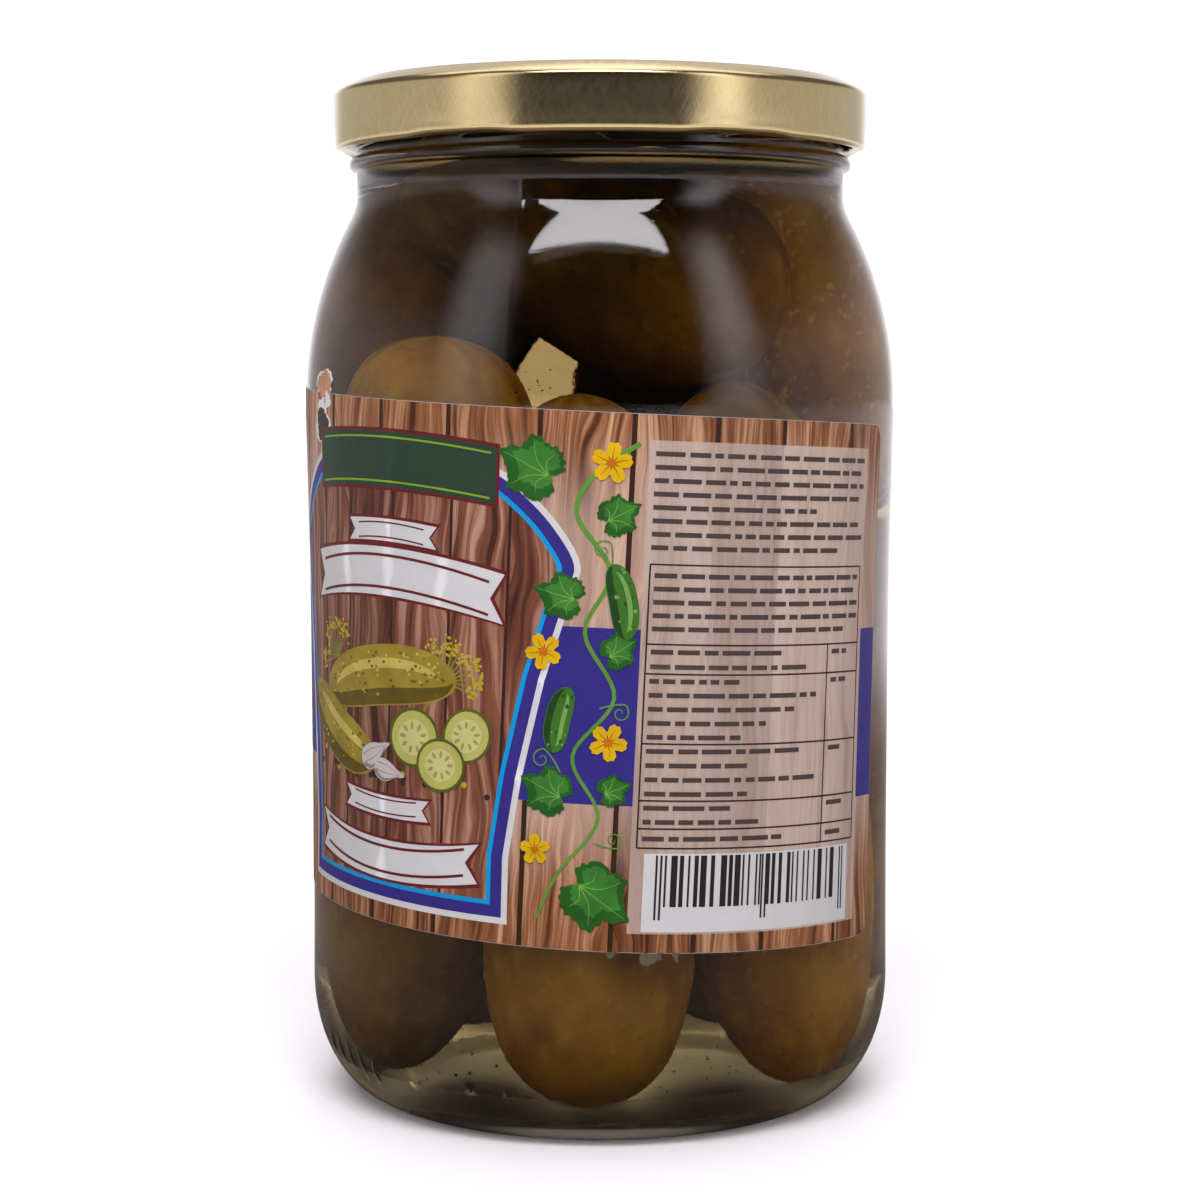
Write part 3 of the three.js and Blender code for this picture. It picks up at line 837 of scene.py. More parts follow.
def lid():
    panel = LID_TOP - PANEL_DROP
    button = panel + BUTTON_RISE
    inside = LID_RADIUS - LID_SHEET
    underside = MOUTH_HEIGHT + 0.3
    bend = LID_RADIUS - BEVEL_ROUND
    inner_bend = BEVEL_ROUND - LID_SHEET
    # Underside, inside of the skirt, curl, outside of the skirt, bevel, ring, sunk panel and button
    outline = (
        [(0, underside), (bend - 0.35, underside)]
        + arc(bend, BEVEL_LOW, inner_bend, inner_bend, BEVEL_TURN, 0, 5)
        + [(inside, LID_BOTTOM + 2.6 * CURL_ROUND)]
        + arc(LID_RADIUS - CURL_ROUND, LID_BOTTOM + CURL_ROUND, CURL_ROUND, CURL_ROUND,
              math.pi * 0.8, math.pi * 1.95, 14)
        + [(LID_RADIUS - 0.02, LID_BOTTOM + 1.5 * CURL_ROUND), (LID_RADIUS, LID_BOTTOM + 2.4 * CURL_ROUND)]
        + arc(bend, BEVEL_LOW, BEVEL_ROUND, BEVEL_ROUND, 0, BEVEL_TURN, 12)
        + [(RING_OUTER_RADIUS, LID_TOP - 0.2), (RING_OUTER_RADIUS - 0.45, LID_TOP - 0.04),
           (RING_OUTER_RADIUS - 0.9, LID_TOP)]
        + arc(RING_INNER_RADIUS + 0.9, LID_TOP - 0.45, 0.9, 0.45, math.pi / 2, math.pi * 0.95, 8)
        + [(RING_INNER_RADIUS - 0.5, panel + 0.06), (RING_INNER_RADIUS - 1.4, panel),
           (BUTTON_RADIUS + 1.6, panel), (BUTTON_RADIUS + 0.9, panel + 0.08),
           (BUTTON_RADIUS + 0.1, button - 0.12), (BUTTON_RADIUS - 0.8, button), (0, button + 0.05)]
    )
    piece = turned("lid_cap", refined(outline, 1.6), even(288), lid_material(), lid_relief)
    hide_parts("lid")
    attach(piece, "root")


# Label: bending flat shapes onto the glass

def on_glass(across, up, out):
    """Place on the glass of points of the flat label, out millimetres off it, as an array of positions."""
    arc_length = across * math.cos(LABEL_TILT) + up * math.sin(LABEL_TILT)
    height = LABEL_HEIGHT_MID - across * math.sin(LABEL_TILT) + up * math.cos(LABEL_TILT)
    azimuth = arc_length / LABEL_ROLL_RADIUS
    radius = glass_radius(height) + out
    return np.stack([radius * np.sin(azimuth), -radius * np.cos(azimuth), height], axis=-1)


# Every printed sheet is cut across and up at these steps, which lets it bend
CUT_ACROSS, CUT_UP = 1.5, 2.5


def flat_mesh(outlines):
    """A flat mesh of the outlines, cut on a fixed grid, so that stacked layers bend alike."""
    flat = bmesh.new()
    for outline in outlines:
        flat.faces.new([flat.verts.new((u, v, 0)) for u, v in outline])
    bmesh.ops.triangulate(flat, faces=flat.faces[:])
    points = np.array([p for outline in outlines for p in outline])
    for axis, step in ((0, CUT_ACROSS), (1, CUT_UP)):
        low, high = points[:, axis].min(), points[:, axis].max()
        for k in range(math.floor(low / step) + 1, math.ceil(high / step)):
            place, normal = [0, 0, 0], [0, 0, 0]
            place[axis], normal[axis] = k * step, 1
            bmesh.ops.bisect_plane(flat, geom=flat.verts[:] + flat.edges[:] + flat.faces[:],
                                   plane_co=place, plane_no=normal)
    return flat


def printed(name, outlines, layer, material, boards=None, back=None):
    """A thin closed sheet of the outlines, bent onto the glass, with sharp rims. layer counts the inks below
    it, and back is how far off the glass its back lies, if it isn't just under its front."""
    flat = flat_mesh(outlines)
    flat.normal_update()
    flat.verts.index_update()
    front = PAPER_FRONT + layer * INK_STEP
    behind = front - 0.8 * INK_STEP if back is None else back
    across = np.array([v.co.x for v in flat.verts])
    up = np.array([v.co.y for v in flat.verts])
    count = len(across)
    vertices = np.concatenate([on_glass(across, up, front), on_glass(across, up, behind)])
    faces, rims = [], set()
    for face in flat.faces:
        around = [v.index for v in face.verts]
        corners = around if face.normal.z >= 0 else around[::-1]
        faces.append(tuple(corners))
        faces.append(tuple(i + count for i in reversed(corners)))
        for corner, a, b in zip(face.loops, around, around[1:] + around[:1]):
            if len(corner.edge.link_faces) == 1:
                if face.normal.z < 0:
                    a, b = b, a
                faces.append((b, a, a + count, b + count))
                rims |= {frozenset((a, b)), frozenset((a + count, b + count))}
    flat.free()
    piece = make_object(name, vertices, faces, material)
    mesh = piece.data
    corner_vertex = np.empty(len(mesh.loops), np.int32)
    mesh.loops.foreach_get("vertex_index", corner_vertex)
    corner_vertex %= count
    layer_uv = mesh.uv_layers.new(name="flat")
    layer_uv.data.foreach_set("uv", np.stack([across, up], axis=-1)[corner_vertex].reshape(-1) / 100)
    if boards is not None:
        values = np.empty(len(mesh.loops), np.float32)
        for polygon in mesh.polygons:
            loops = list(polygon.loop_indices)
            middle = np.mean(across[corner_vertex[loops]])
            values[loops] = float(np.searchsorted(boards, middle)) + 1
        mesh.attributes.new("board", "FLOAT", "CORNER").data.foreach_set("value", values)
    sharp = [frozenset(edge.vertices) in rims for edge in mesh.edges]
    mesh.attributes.new("sharp_edge", "BOOLEAN", "EDGE").data.foreach_set("value", sharp)
    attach(piece, "root")
    return piece


# Label: flat shapes

def rectangle(left, low, right, high):
    return [(left, low), (right, low), (right, high), (left, high)]


def round_rectangle(left, low, right, high, corner, steps=5):
    points = []
    for cx, cy, turn in ((right - corner, low + corner, -0.25), (right - corner, high - corner, 0),
                         (left + corner, high - corner, 0.25), (left + corner, low + corner, 0.5)):
        for k in range(steps + 1):
            angle = (turn + 0.25 * k / steps) * TAU
            points.append((cx + corner * math.cos(angle), cy + corner * math.sin(angle)))
    return points


def ellipse(cx, cy, wide, high, turn=0.0, steps=20):
    points = []
    for k in range(steps):
        a, b = wide * math.cos(k / steps * TAU), high * math.sin(k / steps * TAU)
        points.append((a, b))
    return placed(points, cx, cy, turn)


def curve_through(points, steps=6):
    """Catmull-Rom curve through the points."""
    points = [np.array(p, float) for p in points]
    points = [2 * points[0] - points[1]] + points + [2 * points[-1] - points[-2]]
    curve = []
    for a, b, c, d in zip(points, points[1:], points[2:], points[3:]):
        for k in range(steps):
            t = k / steps
            curve.append(0.5 * (2 * b + (c - a) * t + (2 * a - 5 * b + 4 * c - d) * t * t
                                + (3 * b - a - 3 * c + d) * t ** 3))
    return [tuple(p) for p in curve + [points[-2]]]


def stroke(points, width, taper=1.0):
    """Outline of a line of that width along the points, narrowing to taper of it at its end."""
    points = np.array(points, float)
    along = np.gradient(points, axis=0)
    normal = np.stack([-along[:, 1], along[:, 0]], axis=-1)
    normal /= np.linalg.norm(normal, axis=1)[:, None]
    half = (width / 2 * np.linspace(1, taper, len(points)))[:, None]
    return [tuple(p) for p in points + normal * half] + [tuple(p) for p in (points - normal * half)[::-1]]


def inset(outline, distance):
    """The outline moved inwards. It runs anticlockwise."""
    points = np.array(outline, float)
    after, before = np.roll(points, -1, axis=0) - points, points - np.roll(points, 1, axis=0)
    after /= np.linalg.norm(after, axis=1)[:, None]
    before /= np.linalg.norm(before, axis=1)[:, None]
    one = np.stack([-after[:, 1], after[:, 0]], axis=-1)
    two = np.stack([-before[:, 1], before[:, 0]], axis=-1)
    both = one + two
    return [tuple(p) for p in points + both * (2 * distance / (both ** 2).sum(axis=1))[:, None]]


def placed(shape, cx, cy, turn=0.0, size=1.0):
    """A shape around the origin, resized, turned and moved."""
    c, s = math.cos(turn) * size, math.sin(turn) * size
    return [(cx + u * c - v * s, cy + u * s + v * c) for u, v in shape]


# Label: layout. Lengths are millimetres on the flat label

# Where the boards of the label and of its front meet
BOARD_GAPS = (-118, -105, -91.5, -78, -64.5, -51, -38, -25, -10.5, 3.3, 16, 27.5, 43)
PANEL_GAPS = (-62, -54, -45.5, -35, -24, -14.5)
# Right half of the front's frame, from its top down, measured from its middle
SHIELD_HALF = ((0, 35.5), (10, 34.6), (19, 31.2), (24.5, 27.5), (29, 23), (32.3, 17.5), (31.2, 12.5),
               (27.7, 0), (24.8, -15), (23.3, -27), (23.5, -37))
# Violet band beside the front, and the field of small print with its table and bars
BAND_LOW, BAND_HIGH = -18.0, 8.3
FIELD_LEFT, FIELD_RIGHT = 5.7, 48.5
FIELD_TOP = 36.2
TEXT_LEFT, TEXT_RIGHT = 6.6, 47.4
TEXT_TOP, LIST_TOP = 34.3, 16.4
TEXT_PITCH = 1.97
TABLE_RULES = (18.0, 6.2, 1.8, -8.6, -17.1, -21.3, -24.2)
TABLE_COLUMN = 39.0
CODE_FIELD = (7.8, -36.8, 46.2, -25.0)
CODE_LEFT, CODE_RIGHT = 11.0, 43.2
BAR_LOW, GUARD_LOW = -33.0, -35.0
# Half width, lower edge and upper edge of the green plaque's rim, its ground and its lines, and their bow
PLAQUE_RIM, PLAQUE_GROUND = (19.6, 25.1, 34.5), (19.1, 25.6, 34.0)
PLAQUE_LINES = ((18.2, 26.3, 26.6), (18.2, 33.0, 33.3))
PLAQUE_BOW = 1.2
# Middle height, half width, half height and bow of the blank ribbons
RIBBONS = ((19.8, 9.5, 1.7, 0.5), (11.6, 21.0, 3.7, 2.4), (-21.6, 9.5, 1.6, -0.4), (-28.4, 18.5, 3.0, -1.8))

# Inks: the screen colour that each shows in the jar's light, and how uneven it is
INKS = {
    "white": ((200, 194, 204), 0.03), "black": ((38, 30, 30), 0.05), "grey": ((72, 57, 59), 0.05),
    "violet": ((50, 40, 126), 0.06), "light_blue": ((0, 140, 210), 0.05), "gap": ((50, 28, 24), 0.08),
    "dark_red": ((98, 26, 34), 0.06), "dark_green": ((40, 58, 47), 0.06), "lime": ((120, 150, 40), 0.05),
    "leaf": ((34, 84, 30), 0.2), "leaf_light": ((54, 112, 44), 0.25), "vein": ((112, 152, 70), 0.1),
    "stem": ((88, 134, 52), 0.15), "petal": ((206, 160, 14), 0.12), "petal_dark": ((176, 112, 6), 0.1),
    "orange": ((190, 96, 8), 0.1), "gherkin": ((58, 104, 38), 0.15), "gherkin_dark": ((30, 62, 26), 0.15),
    "gherkin_light": ((112, 150, 78), 0.12), "gherkin_wart": ((36, 72, 28), 0.1),
    "brined": ((146, 122, 42), 0.2), "brined_dark": ((92, 74, 20), 0.2),
    "brined_light": ((184, 164, 86), 0.15), "brined_wart": ((104, 84, 22), 0.15),
    "rim": ((78, 86, 26), 0.15), "flesh": ((172, 164, 92), 0.08), "heart": ((190, 180, 124), 0.08),
    "seed": ((150, 138, 78), 0.08), "garlic": ((188, 176, 182), 0.05),
    "garlic_shade": ((136, 116, 126), 0.08), "torn": ((214, 206, 212), 0.05),
    "scrap": ((186, 132, 106), 0.25), "bare_glass": ((44, 36, 32), 0.1), "glue": ((92, 80, 68), 0.1),
    "dill": ((172, 150, 40), 0.12), "stalk": ((122, 118, 46), 0.1), "pepper": ((52, 34, 30), 0.1),
}


class Art:
    """Collects the outlines of a picture by layer and ink, and makes one piece of each."""

    def __init__(self):
        self.shapes = {}

    def add(self, layer, colour, outline):
        self.shapes.setdefault((layer, colour), []).append(outline)

    def make(self, inks):
        for (layer, colour), outlines in sorted(self.shapes.items()):
            printed(f"label_art_{colour}_{layer}", outlines, layer, inks[colour])


def label_outline():
    return round_rectangle(LABEL_LEFT, -LABEL_HALF_HEIGHT, LABEL_RIGHT, LABEL_HALF_HEIGHT, LABEL_CORNER)


def label_paper():
    paper = print_material("label_paper", ink(205, 200, 208), vary=0.03)
    piece = printed("label_paper", [label_outline()], 0, paper, back=PAPER_BACK)
    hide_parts("label")


def strips(gaps, left, right, low, high, width):
    """Boards between the gaps, as rectangles."""
    edges = [left] + list(gaps) + [right]
    boards = []
    for k, (a, b) in enumerate(zip(edges, edges[1:])):
        start = a + (width / 2 if k else 0)
        end = b - (width / 2 if k < len(edges) - 2 else 0)
        boards.append(rectangle(start, low, end, high))
    return boards


def label_boards():
    """The printed boards that the label is covered with, and the dark gaps between them."""
    dark = print_material("board_gaps", ink(52, 30, 22))
    ground = round_rectangle(LABEL_LEFT + 0.05, -LABEL_HALF_HEIGHT + 0.05, LABEL_RIGHT - 0.05,
                             LABEL_HALF_HEIGHT - 0.05, LABEL_CORNER)
    printed("label_board_gaps", [ground], 1, dark)
    wood = plank_material("printed_boards", ink(74, 38, 22), ink(150, 100, 74), ink(212, 170, 150), 0.26,
                          fade=True)
    boards = strips(BOARD_GAPS, LABEL_LEFT + 0.08, LABEL_RIGHT - 0.08, -LABEL_HALF_HEIGHT + 0.08,
                    LABEL_HALF_HEIGHT - 0.08, 0.8)
    # The first and the last board lose their outer corners, as the paper's are round
    (left, low), first_low, first_high, (_, high) = boards[0]
    last_low, (right, _), _, last_high = boards[-1]
    corner = LABEL_CORNER
    side, cut = LABEL_HALF_HEIGHT - corner, LABEL_HALF_HEIGHT - 0.95
    boards[0] = [(left, -side), (left + 0.9, -cut), (left + corner, low), first_low, first_high,
                 (left + corner, high), (left + 0.9, cut), (left, side)]
    boards[-1] = [last_low, (right - corner, low), (right - 0.9, -cut), (right, -side), (right, side),
                  (right - 0.9, cut), (right - corner, high), last_high]
    printed("label_boards", boards, 2, wood, boards=BOARD_GAPS)


def shield_outline():
    """Outline of the front's frame, anticlockwise. Each half is curved down to its eighth point and straight
    below it."""
    half = curve_through(SHIELD_HALF[:8], 5) + [tuple(p) for p in SHIELD_HALF[8:]]
    right = [(FRAME_MIDDLE + u, v) for u, v in half]
    left = [(FRAME_MIDDLE - u, v) for u, v in half[:0:-1]]
    return right[::-1] + left[::-1]


def label_front(inks):
    """Shield-shaped frame of white, violet and light blue round a field of dark boards."""
    outline = shield_outline()
    band = [rectangle(LABEL_LEFT + 0.2, BAND_LOW, FIELD_LEFT, BAND_HIGH),
            rectangle(FIELD_RIGHT, BAND_LOW, LABEL_RIGHT - 0.2, BAND_HIGH)]
    printed("label_violet_band", band, 3, inks["violet"])
    printed("label_frame_white", [outline], 4, inks["white"])
    printed("label_frame_violet", [inset(outline, 0.95)], 5, inks["violet"])
    printed("label_frame_blue", [inset(outline, 2.75)], 6, inks["light_blue"])
    field = inset(outline, 3.45)
    printed("label_front_gaps", [field], 7, inks["gap"])
    wood = plank_material("front_boards", ink(60, 26, 20), ink(118, 68, 54), ink(172, 128, 112), 0.3)
    printed("label_front_boards", flat_clip(field, PANEL_GAPS, 0.5), 8, wood, boards=PANEL_GAPS)


def clip_half(outline, limit, keep_right):
    """The part of a closed outline to the right or the left of an upright line."""
    sign = 1 if keep_right else -1
    result = []
    for (u0, v0), (u1, v1) in zip(outline, outline[1:] + outline[:1]):
        in0, in1 = sign * (u0 - limit) >= 0, sign * (u1 - limit) >= 0
        if in0:
            result.append((u0, v0))
        if in0 != in1:
            t = (limit - u0) / (u1 - u0)
            result.append((limit, v0 + (v1 - v0) * t))
    return result


def flat_clip(outline, gaps, width):
    """The outline cut into upright boards."""
    edges = [-999] + list(gaps) + [999]
    boards = []
    for a, b in zip(edges, edges[1:]):
        piece = clip_half(clip_half(outline, a + width / 2, True), b - width / 2, False)
        if len(piece) > 2:
            boards.append(piece)
    return boards


def banner(middle, half_width, low, high, bow, steps=14):
    """A level band with upright ends and bowed long edges: bow lifts its middle above its ends."""
    across = np.linspace(-half_width, half_width, steps + 1)
    lift = bow * (1 - (across / half_width) ** 2)
    lower = [(middle + u, low + h) for u, h in zip(across, lift)]
    upper = [(middle + u, high + h) for u, h in zip(across, lift)]
    return lower + upper[::-1]


def ribbon(up, half_width, half_height, bow, steps=16):
    """A bowed band with a notch at each end."""
    band = banner(FRAME_MIDDLE, half_width, up - half_height, up + half_height, bow, steps)
    inner = half_width - min(2.2, half_height * 0.8)
    lower, upper = band[:steps + 1], band[steps + 1:]
    return lower + [(FRAME_MIDDLE + inner, up)] + upper + [(FRAME_MIDDLE - inner, up)]


def label_plaque(inks):
    """A plain green plaque at the head of the front, with a dark red edge and two light green lines."""
    printed("label_plaque_edge", [banner(FRAME_MIDDLE, *PLAQUE_RIM, PLAQUE_BOW)], 9, inks["dark_red"])
    printed("label_plaque", [banner(FRAME_MIDDLE, *PLAQUE_GROUND, PLAQUE_BOW)], 10, inks["dark_green"])
    lines = [banner(FRAME_MIDDLE, *line, PLAQUE_BOW) for line in PLAQUE_LINES]
    printed("label_plaque_lines", lines, 11, inks["lime"])


def label_titles(inks):
    """Blank ribbons, each white with a dark red edge, notched at both ends."""
    edges, fills, lines = [], [], []
    for up, half_width, half_height, bow in RIBBONS:
        edges.append(ribbon(up, half_width + 0.7, half_height + 0.45, bow))
        fills.append(ribbon(up, half_width, half_height, bow))
        rule = 0.12 if half_height < 3 else 0.22
        for side in (-1, 1):
            middle = up + side * half_height * 0.66
            lines.append(banner(FRAME_MIDDLE, half_width - 2.4, middle - rule, middle + rule, bow))
    printed("label_ribbon_edges", edges, 9, inks["dark_red"])
    printed("label_ribbons", fills, 10, inks["white"])
    printed("label_ribbon_lines", lines, 11, inks["dark_red"])


def label_info(inks):
    """Field of small print: rows of plain dashes, a ruled table and a field of bars."""
    pale = plank_material("pale_boards", ink(160, 128, 120), ink(184, 158, 153), ink(196, 174, 172), 0.5)
    inside = [gap for gap in BOARD_GAPS if FIELD_LEFT < gap < FIELD_RIGHT]
    field = strips(inside, FIELD_LEFT, FIELD_RIGHT, CODE_FIELD[1] - 0.3, FIELD_TOP, 0.0)
    printed("label_info_field", field, 4, pale, boards=BOARD_GAPS)
    draw = np.random.default_rng(5)
    dashes = []

    def words(left, right, up, full):
        at = left
        end = right if full else left + (right - left) * draw.uniform(0.45, 1.0)
        while at < end - 1.0:
            length = min(draw.uniform(1.2, 5.2), end - at)
            dashes.append(rectangle(at, up - 0.4, at + length, up + 0.32))
            at += length + draw.uniform(0.55, 0.8)

    for line in range(8):
        words(TEXT_LEFT, TEXT_RIGHT, TEXT_TOP - line * TEXT_PITCH, line not in (4, 7))
    for line in range(5):
        words(TEXT_LEFT + 0.7, TEXT_RIGHT - 0.7, LIST_TOP - line * TEXT_PITCH, line < 4)
    for high, low in zip(TABLE_RULES[1:], TABLE_RULES[2:]):
        rows = max(1, round((high - low) / TEXT_PITCH - 0.1))
        for line in range(rows):
            words(TEXT_LEFT + 0.7, TABLE_COLUMN - 1.2, high - (high - low) * (line + 0.5) / rows, False)
        words(TABLE_COLUMN + 1.0, TABLE_COLUMN + 5.0, high - (high - low) * 0.5 / rows, True)
    printed("label_small_print", dashes, 6, inks["grey"])
    rules = [rectangle(TEXT_LEFT, up - 0.13, TEXT_RIGHT, up + 0.13) for up in TABLE_RULES]
    columns = ((TEXT_LEFT, TABLE_RULES[0]), (TEXT_RIGHT, TABLE_RULES[0]), (TABLE_COLUMN, TABLE_RULES[1]))
    rules += [rectangle(at - 0.13, TABLE_RULES[-1], at + 0.13, top) for at, top in columns]
    printed("label_table_rules", rules, 5, inks["black"])
    printed("label_code_field", [rectangle(*CODE_FIELD)], 5, inks["white"])
    bars, at = [], CODE_LEFT
    while at < CODE_RIGHT:
        wide = draw.choice([0.33, 0.33, 0.66, 1.0])
        bars.append(rectangle(at, BAR_LOW, min(at + wide, CODE_RIGHT), CODE_FIELD[3] - 0.25))
        at += wide + draw.choice([0.33, 0.66, 0.66, 1.0])
    for guard in (CODE_LEFT - 1.4, CODE_LEFT - 0.7, 27.0, 27.7, CODE_RIGHT + 0.7, CODE_RIGHT + 1.4):
        bars.append(rectangle(guard, GUARD_LOW, guard + 0.33, CODE_FIELD[3] - 0.25))
    printed("label_bars", bars, 6, inks["black"])


# Lobes of a leaf: the angle of each off the leaf's tip, and how far it and its vein reach, as shares of its
# size
LEAF_LOBES = ((0, 1.0, 0.9), (0.95, 0.82, 0.7), (-0.95, 0.82, 0.7), (1.9, 0.66, 0.5), (-1.9, 0.66, 0.5))


def leaf_blade(size, steps=84):
    """A lobed, toothed leaf round the origin: its tip points along +u and its stalk comes in from -u."""
    points = []
    for k in range(steps):
        angle = k / steps * TAU
        reach = 0.6
        for centre, length, _ in LEAF_LOBES:
            off = abs(turn_gap(angle, centre))
            reach = max(reach, 0.6 + (length - 0.6) * max(0.0, 1 - off / 0.52))
        reach *= 1 - 0.62 * math.exp(-(((angle - math.pi) / 0.3) ** 2))
        reach += 0.035 if k % 4 < 2 else -0.02
        points.append((size * reach * math.cos(angle), size * reach * math.sin(angle)))
    return points


def paint_leaf(art, layer, u, v, size, turn):
    """A leaf in two greens, with a vein along each lobe."""
    art.add(layer, "leaf", placed(leaf_blade(size), u, v, turn))
    art.add(layer + 1, "leaf_light", placed(leaf_blade(size * 0.72), u + 0.06 * size, v + 0.08 * size, turn))
    for angle, _, length in LEAF_LOBES:
        toward = np.array([math.cos(angle), math.sin(angle)]) * size
        vein = curve_through([(-0.25 * size, 0), 0.25 * toward, length * toward], 3)
        art.add(layer + 2, "vein", stroke(placed(vein, u, v, turn), 0.16, 0.4))


PETAL = ((0.1, 0), (0.45, -0.34), (0.85, -0.36), (1.08, -0.14), (1.0, 0.02), (1.06, 0.18), (0.82, 0.36),
         (0.42, 0.32))


def paint_flower(art, layer, u, v, size, turn):
    """A flower of five petals, each with a darker line, round an orange heart."""
    for k in range(5):
        angle = turn + k * TAU / 5
        art.add(layer + k % 2, "petal", placed(PETAL, u, v, angle, size))
        line = stroke([(0.2, 0), (0.5, 0.02), (0.85, 0)], 0.1, 0.3)
        art.add(layer + 2, "petal_dark", placed(line, u, v, angle, size))
    art.add(layer + 3, "orange", ellipse(u, v, size * 0.24, size * 0.22))


def bent_body(length, width, bend, low=-1.0, high=1.0, steps=18):
    """Outline of a bent blunt rod between two shares of its half width."""
    lower, upper = [], []
    for k in range(steps + 1):
        t = -math.cos(math.pi * k / steps)
        half = width / 2 * math.sqrt(max(0.0, 1 - abs(t) ** 3))
        lift = bend * (1 - t * t)
        lower.append((t * length / 2, lift + low * half))
        upper.append((t * length / 2, lift + high * half))
    return [lower[0]] + lower[1:-1] + [lower[-1]] + upper[-2:0:-1]


def paint_gherkin(art, layer, u, v, length, width, turn, bend, colours, seed):
    """A whole gherkin: body, dark underside, light upper side and warts."""
    body, shade, light, wart = colours
    art.add(layer, body, placed(bent_body(length, width, bend), u, v, turn))
    art.add(layer + 1, shade, placed(bent_body(length * 0.96, width * 0.95, bend, -1.0, -0.45), u, v, turn))
    art.add(layer + 1, light, placed(bent_body(length * 0.8, width * 0.9, bend, 0.25, 0.62), u, v, turn))
    draw = np.random.default_rng(seed)
    for _ in range(int(length * width * 0.28)):
        t, s = draw.uniform(-0.86, 0.86), draw.uniform(-0.8, 0.8)
        across = t * length / 2
        off = bend * (1 - t * t) + s * width / 2 * math.sqrt(1 - abs(t) ** 3)
        size = draw.uniform(0.16, 0.36)
        spot = placed([(across, off)], u, v, turn)[0]
        colour = wart if draw.uniform() < 0.55 else light
        art.add(layer + 2, colour, ellipse(*spot, size, size * 0.75, turn, 8))


def paint_slice(art, layer, u, v, radius, turn):
    """A round cucumber slice: rim, flesh, paler heart and seeds."""
    art.add(layer, "rim", ellipse(u, v, radius, radius * 0.93, turn, 26))
    art.add(layer + 1, "flesh", ellipse(u, v, radius * 0.9, radius * 0.83, turn, 24))
    art.add(layer + 2, "heart", ellipse(u, v, radius * 0.62, radius * 0.56, turn, 20))
    for k in range(9):
        angle = turn + k * TAU / 9
        centre = (u + radius * 0.42 * math.cos(angle), v + radius * 0.38 * math.sin(angle))
        art.add(layer + 3, "seed", ellipse(*centre, radius * 0.13, radius * 0.06, angle, 8))


def paint_clove(art, layer, u, v, size, turn):
    """A garlic clove: pale body, lilac shade and thin lines towards its tip."""
    outline = [(-1.0, 0.0), (-0.85, -0.42), (-0.4, -0.62), (0.15, -0.52), (0.6, -0.22), (1.25, 0.02),
               (0.62, 0.28), (0.15, 0.48), (-0.4, 0.55), (-0.85, 0.36)]
    outline = curve_through(outline + outline[:1], 4)[:-1]
    art.add(layer, "garlic", placed(outline, u, v, turn, size))
    shade = curve_through([(-0.9, -0.2), (-0.4, -0.5), (0.2, -0.4), (0.9, -0.05)], 4)
    art.add(layer + 1, "garlic_shade", placed(stroke(shade, 0.22, 0.2), u, v, turn, size))
    for lift in (-0.12, 0.2):
        line = curve_through([(-0.8, lift * 1.2), (0.0, lift * 1.3), (0.95, 0.02)], 4)
        art.add(layer + 1, "garlic_shade", placed(stroke(line, 0.05, 0.4), u, v, turn, size))


def paint_dill(art, layer, u, v, size, turn, seed):
    """An umbel of dill in flower: rays from one point, each ending in a small cluster of dots."""
    draw = np.random.default_rng(seed)
    art.add(layer, "stalk", placed(stroke([(-1.4, 0), (-0.7, 0.05), (0, 0)], 0.07), u, v, turn, size))
    for k in range(11):
        angle = (k / 10 - 0.5) * 2.5
        length = draw.uniform(0.75, 1.05)
        tip = (length * math.cos(angle), length * math.sin(angle))
        ray = stroke([(0, 0), (tip[0] / 2, tip[1] / 2 + 0.03), tip], 0.045)
        art.add(layer, "stalk", placed(ray, u, v, turn, size))
        for _ in range(9):
            spot = (tip[0] + draw.normal(0, 0.1), tip[1] + draw.normal(0, 0.1))
            centre = placed([spot], u, v, turn, size)[0]
            art.add(layer + 1, "dill", ellipse(*centre, draw.uniform(0.2, 0.42), 0.24, 0, 6))


def paint_curl(art, layer, u, v, size, turn, hand):
    """A tendril that ends in a spiral."""
    points = [(-2.2, 0.5 * hand), (-1.2, -0.35 * hand)]
    for k in range(15):
        angle = -math.pi / 2 + k * 0.55
        reach = 1.0 - k / 17
        points.append((reach * math.cos(angle), hand * reach * math.sin(angle)))
    art.add(layer, "stem", placed(stroke(curve_through(points, 3), 0.17, 0.5), u, v, turn, size))


def label_food(art):
    """The picture on the front: two brined gherkins, cucumber slices, garlic cloves, dill and peppercorns."""
    brined = ("brined", "brined_dark", "brined_light", "brined_wart")
    paint_dill(art, 9, -24, -1.5, 6.0, 0.9, 2)
    paint_dill(art, 9, -49, -0.5, 5.6, 2.2, 3)
    paint_gherkin(art, 11, -37.5, -3.6, 31, 9.4, 0.16, 1.6, brined, 4)
    paint_gherkin(art, 14, -48.5, -11.2, 23, 8.6, -0.42, -1.2, brined, 6)
    for cut in ((14, -29.8, -10.6, 4.9, 0.3), (14, -20.2, -9.3, 4.3, 0.9), (18, -24.6, -14.2, 4.4, 0.1)):
        paint_slice(art, *cut)
    paint_clove(art, 18, -38.2, -14.2, 3.3, 0.5)
    paint_clove(art, 20, -35.0, -16.4, 3.0, -0.15)
    draw = np.random.default_rng(8)
    for _ in range(26):
        u, v = draw.uniform(-56, -16), draw.uniform(-18.5, -15.5)
        art.add(9, "pepper" if draw.uniform() < 0.6 else "dill", ellipse(u, v, 0.5, 0.47, 0, 10))


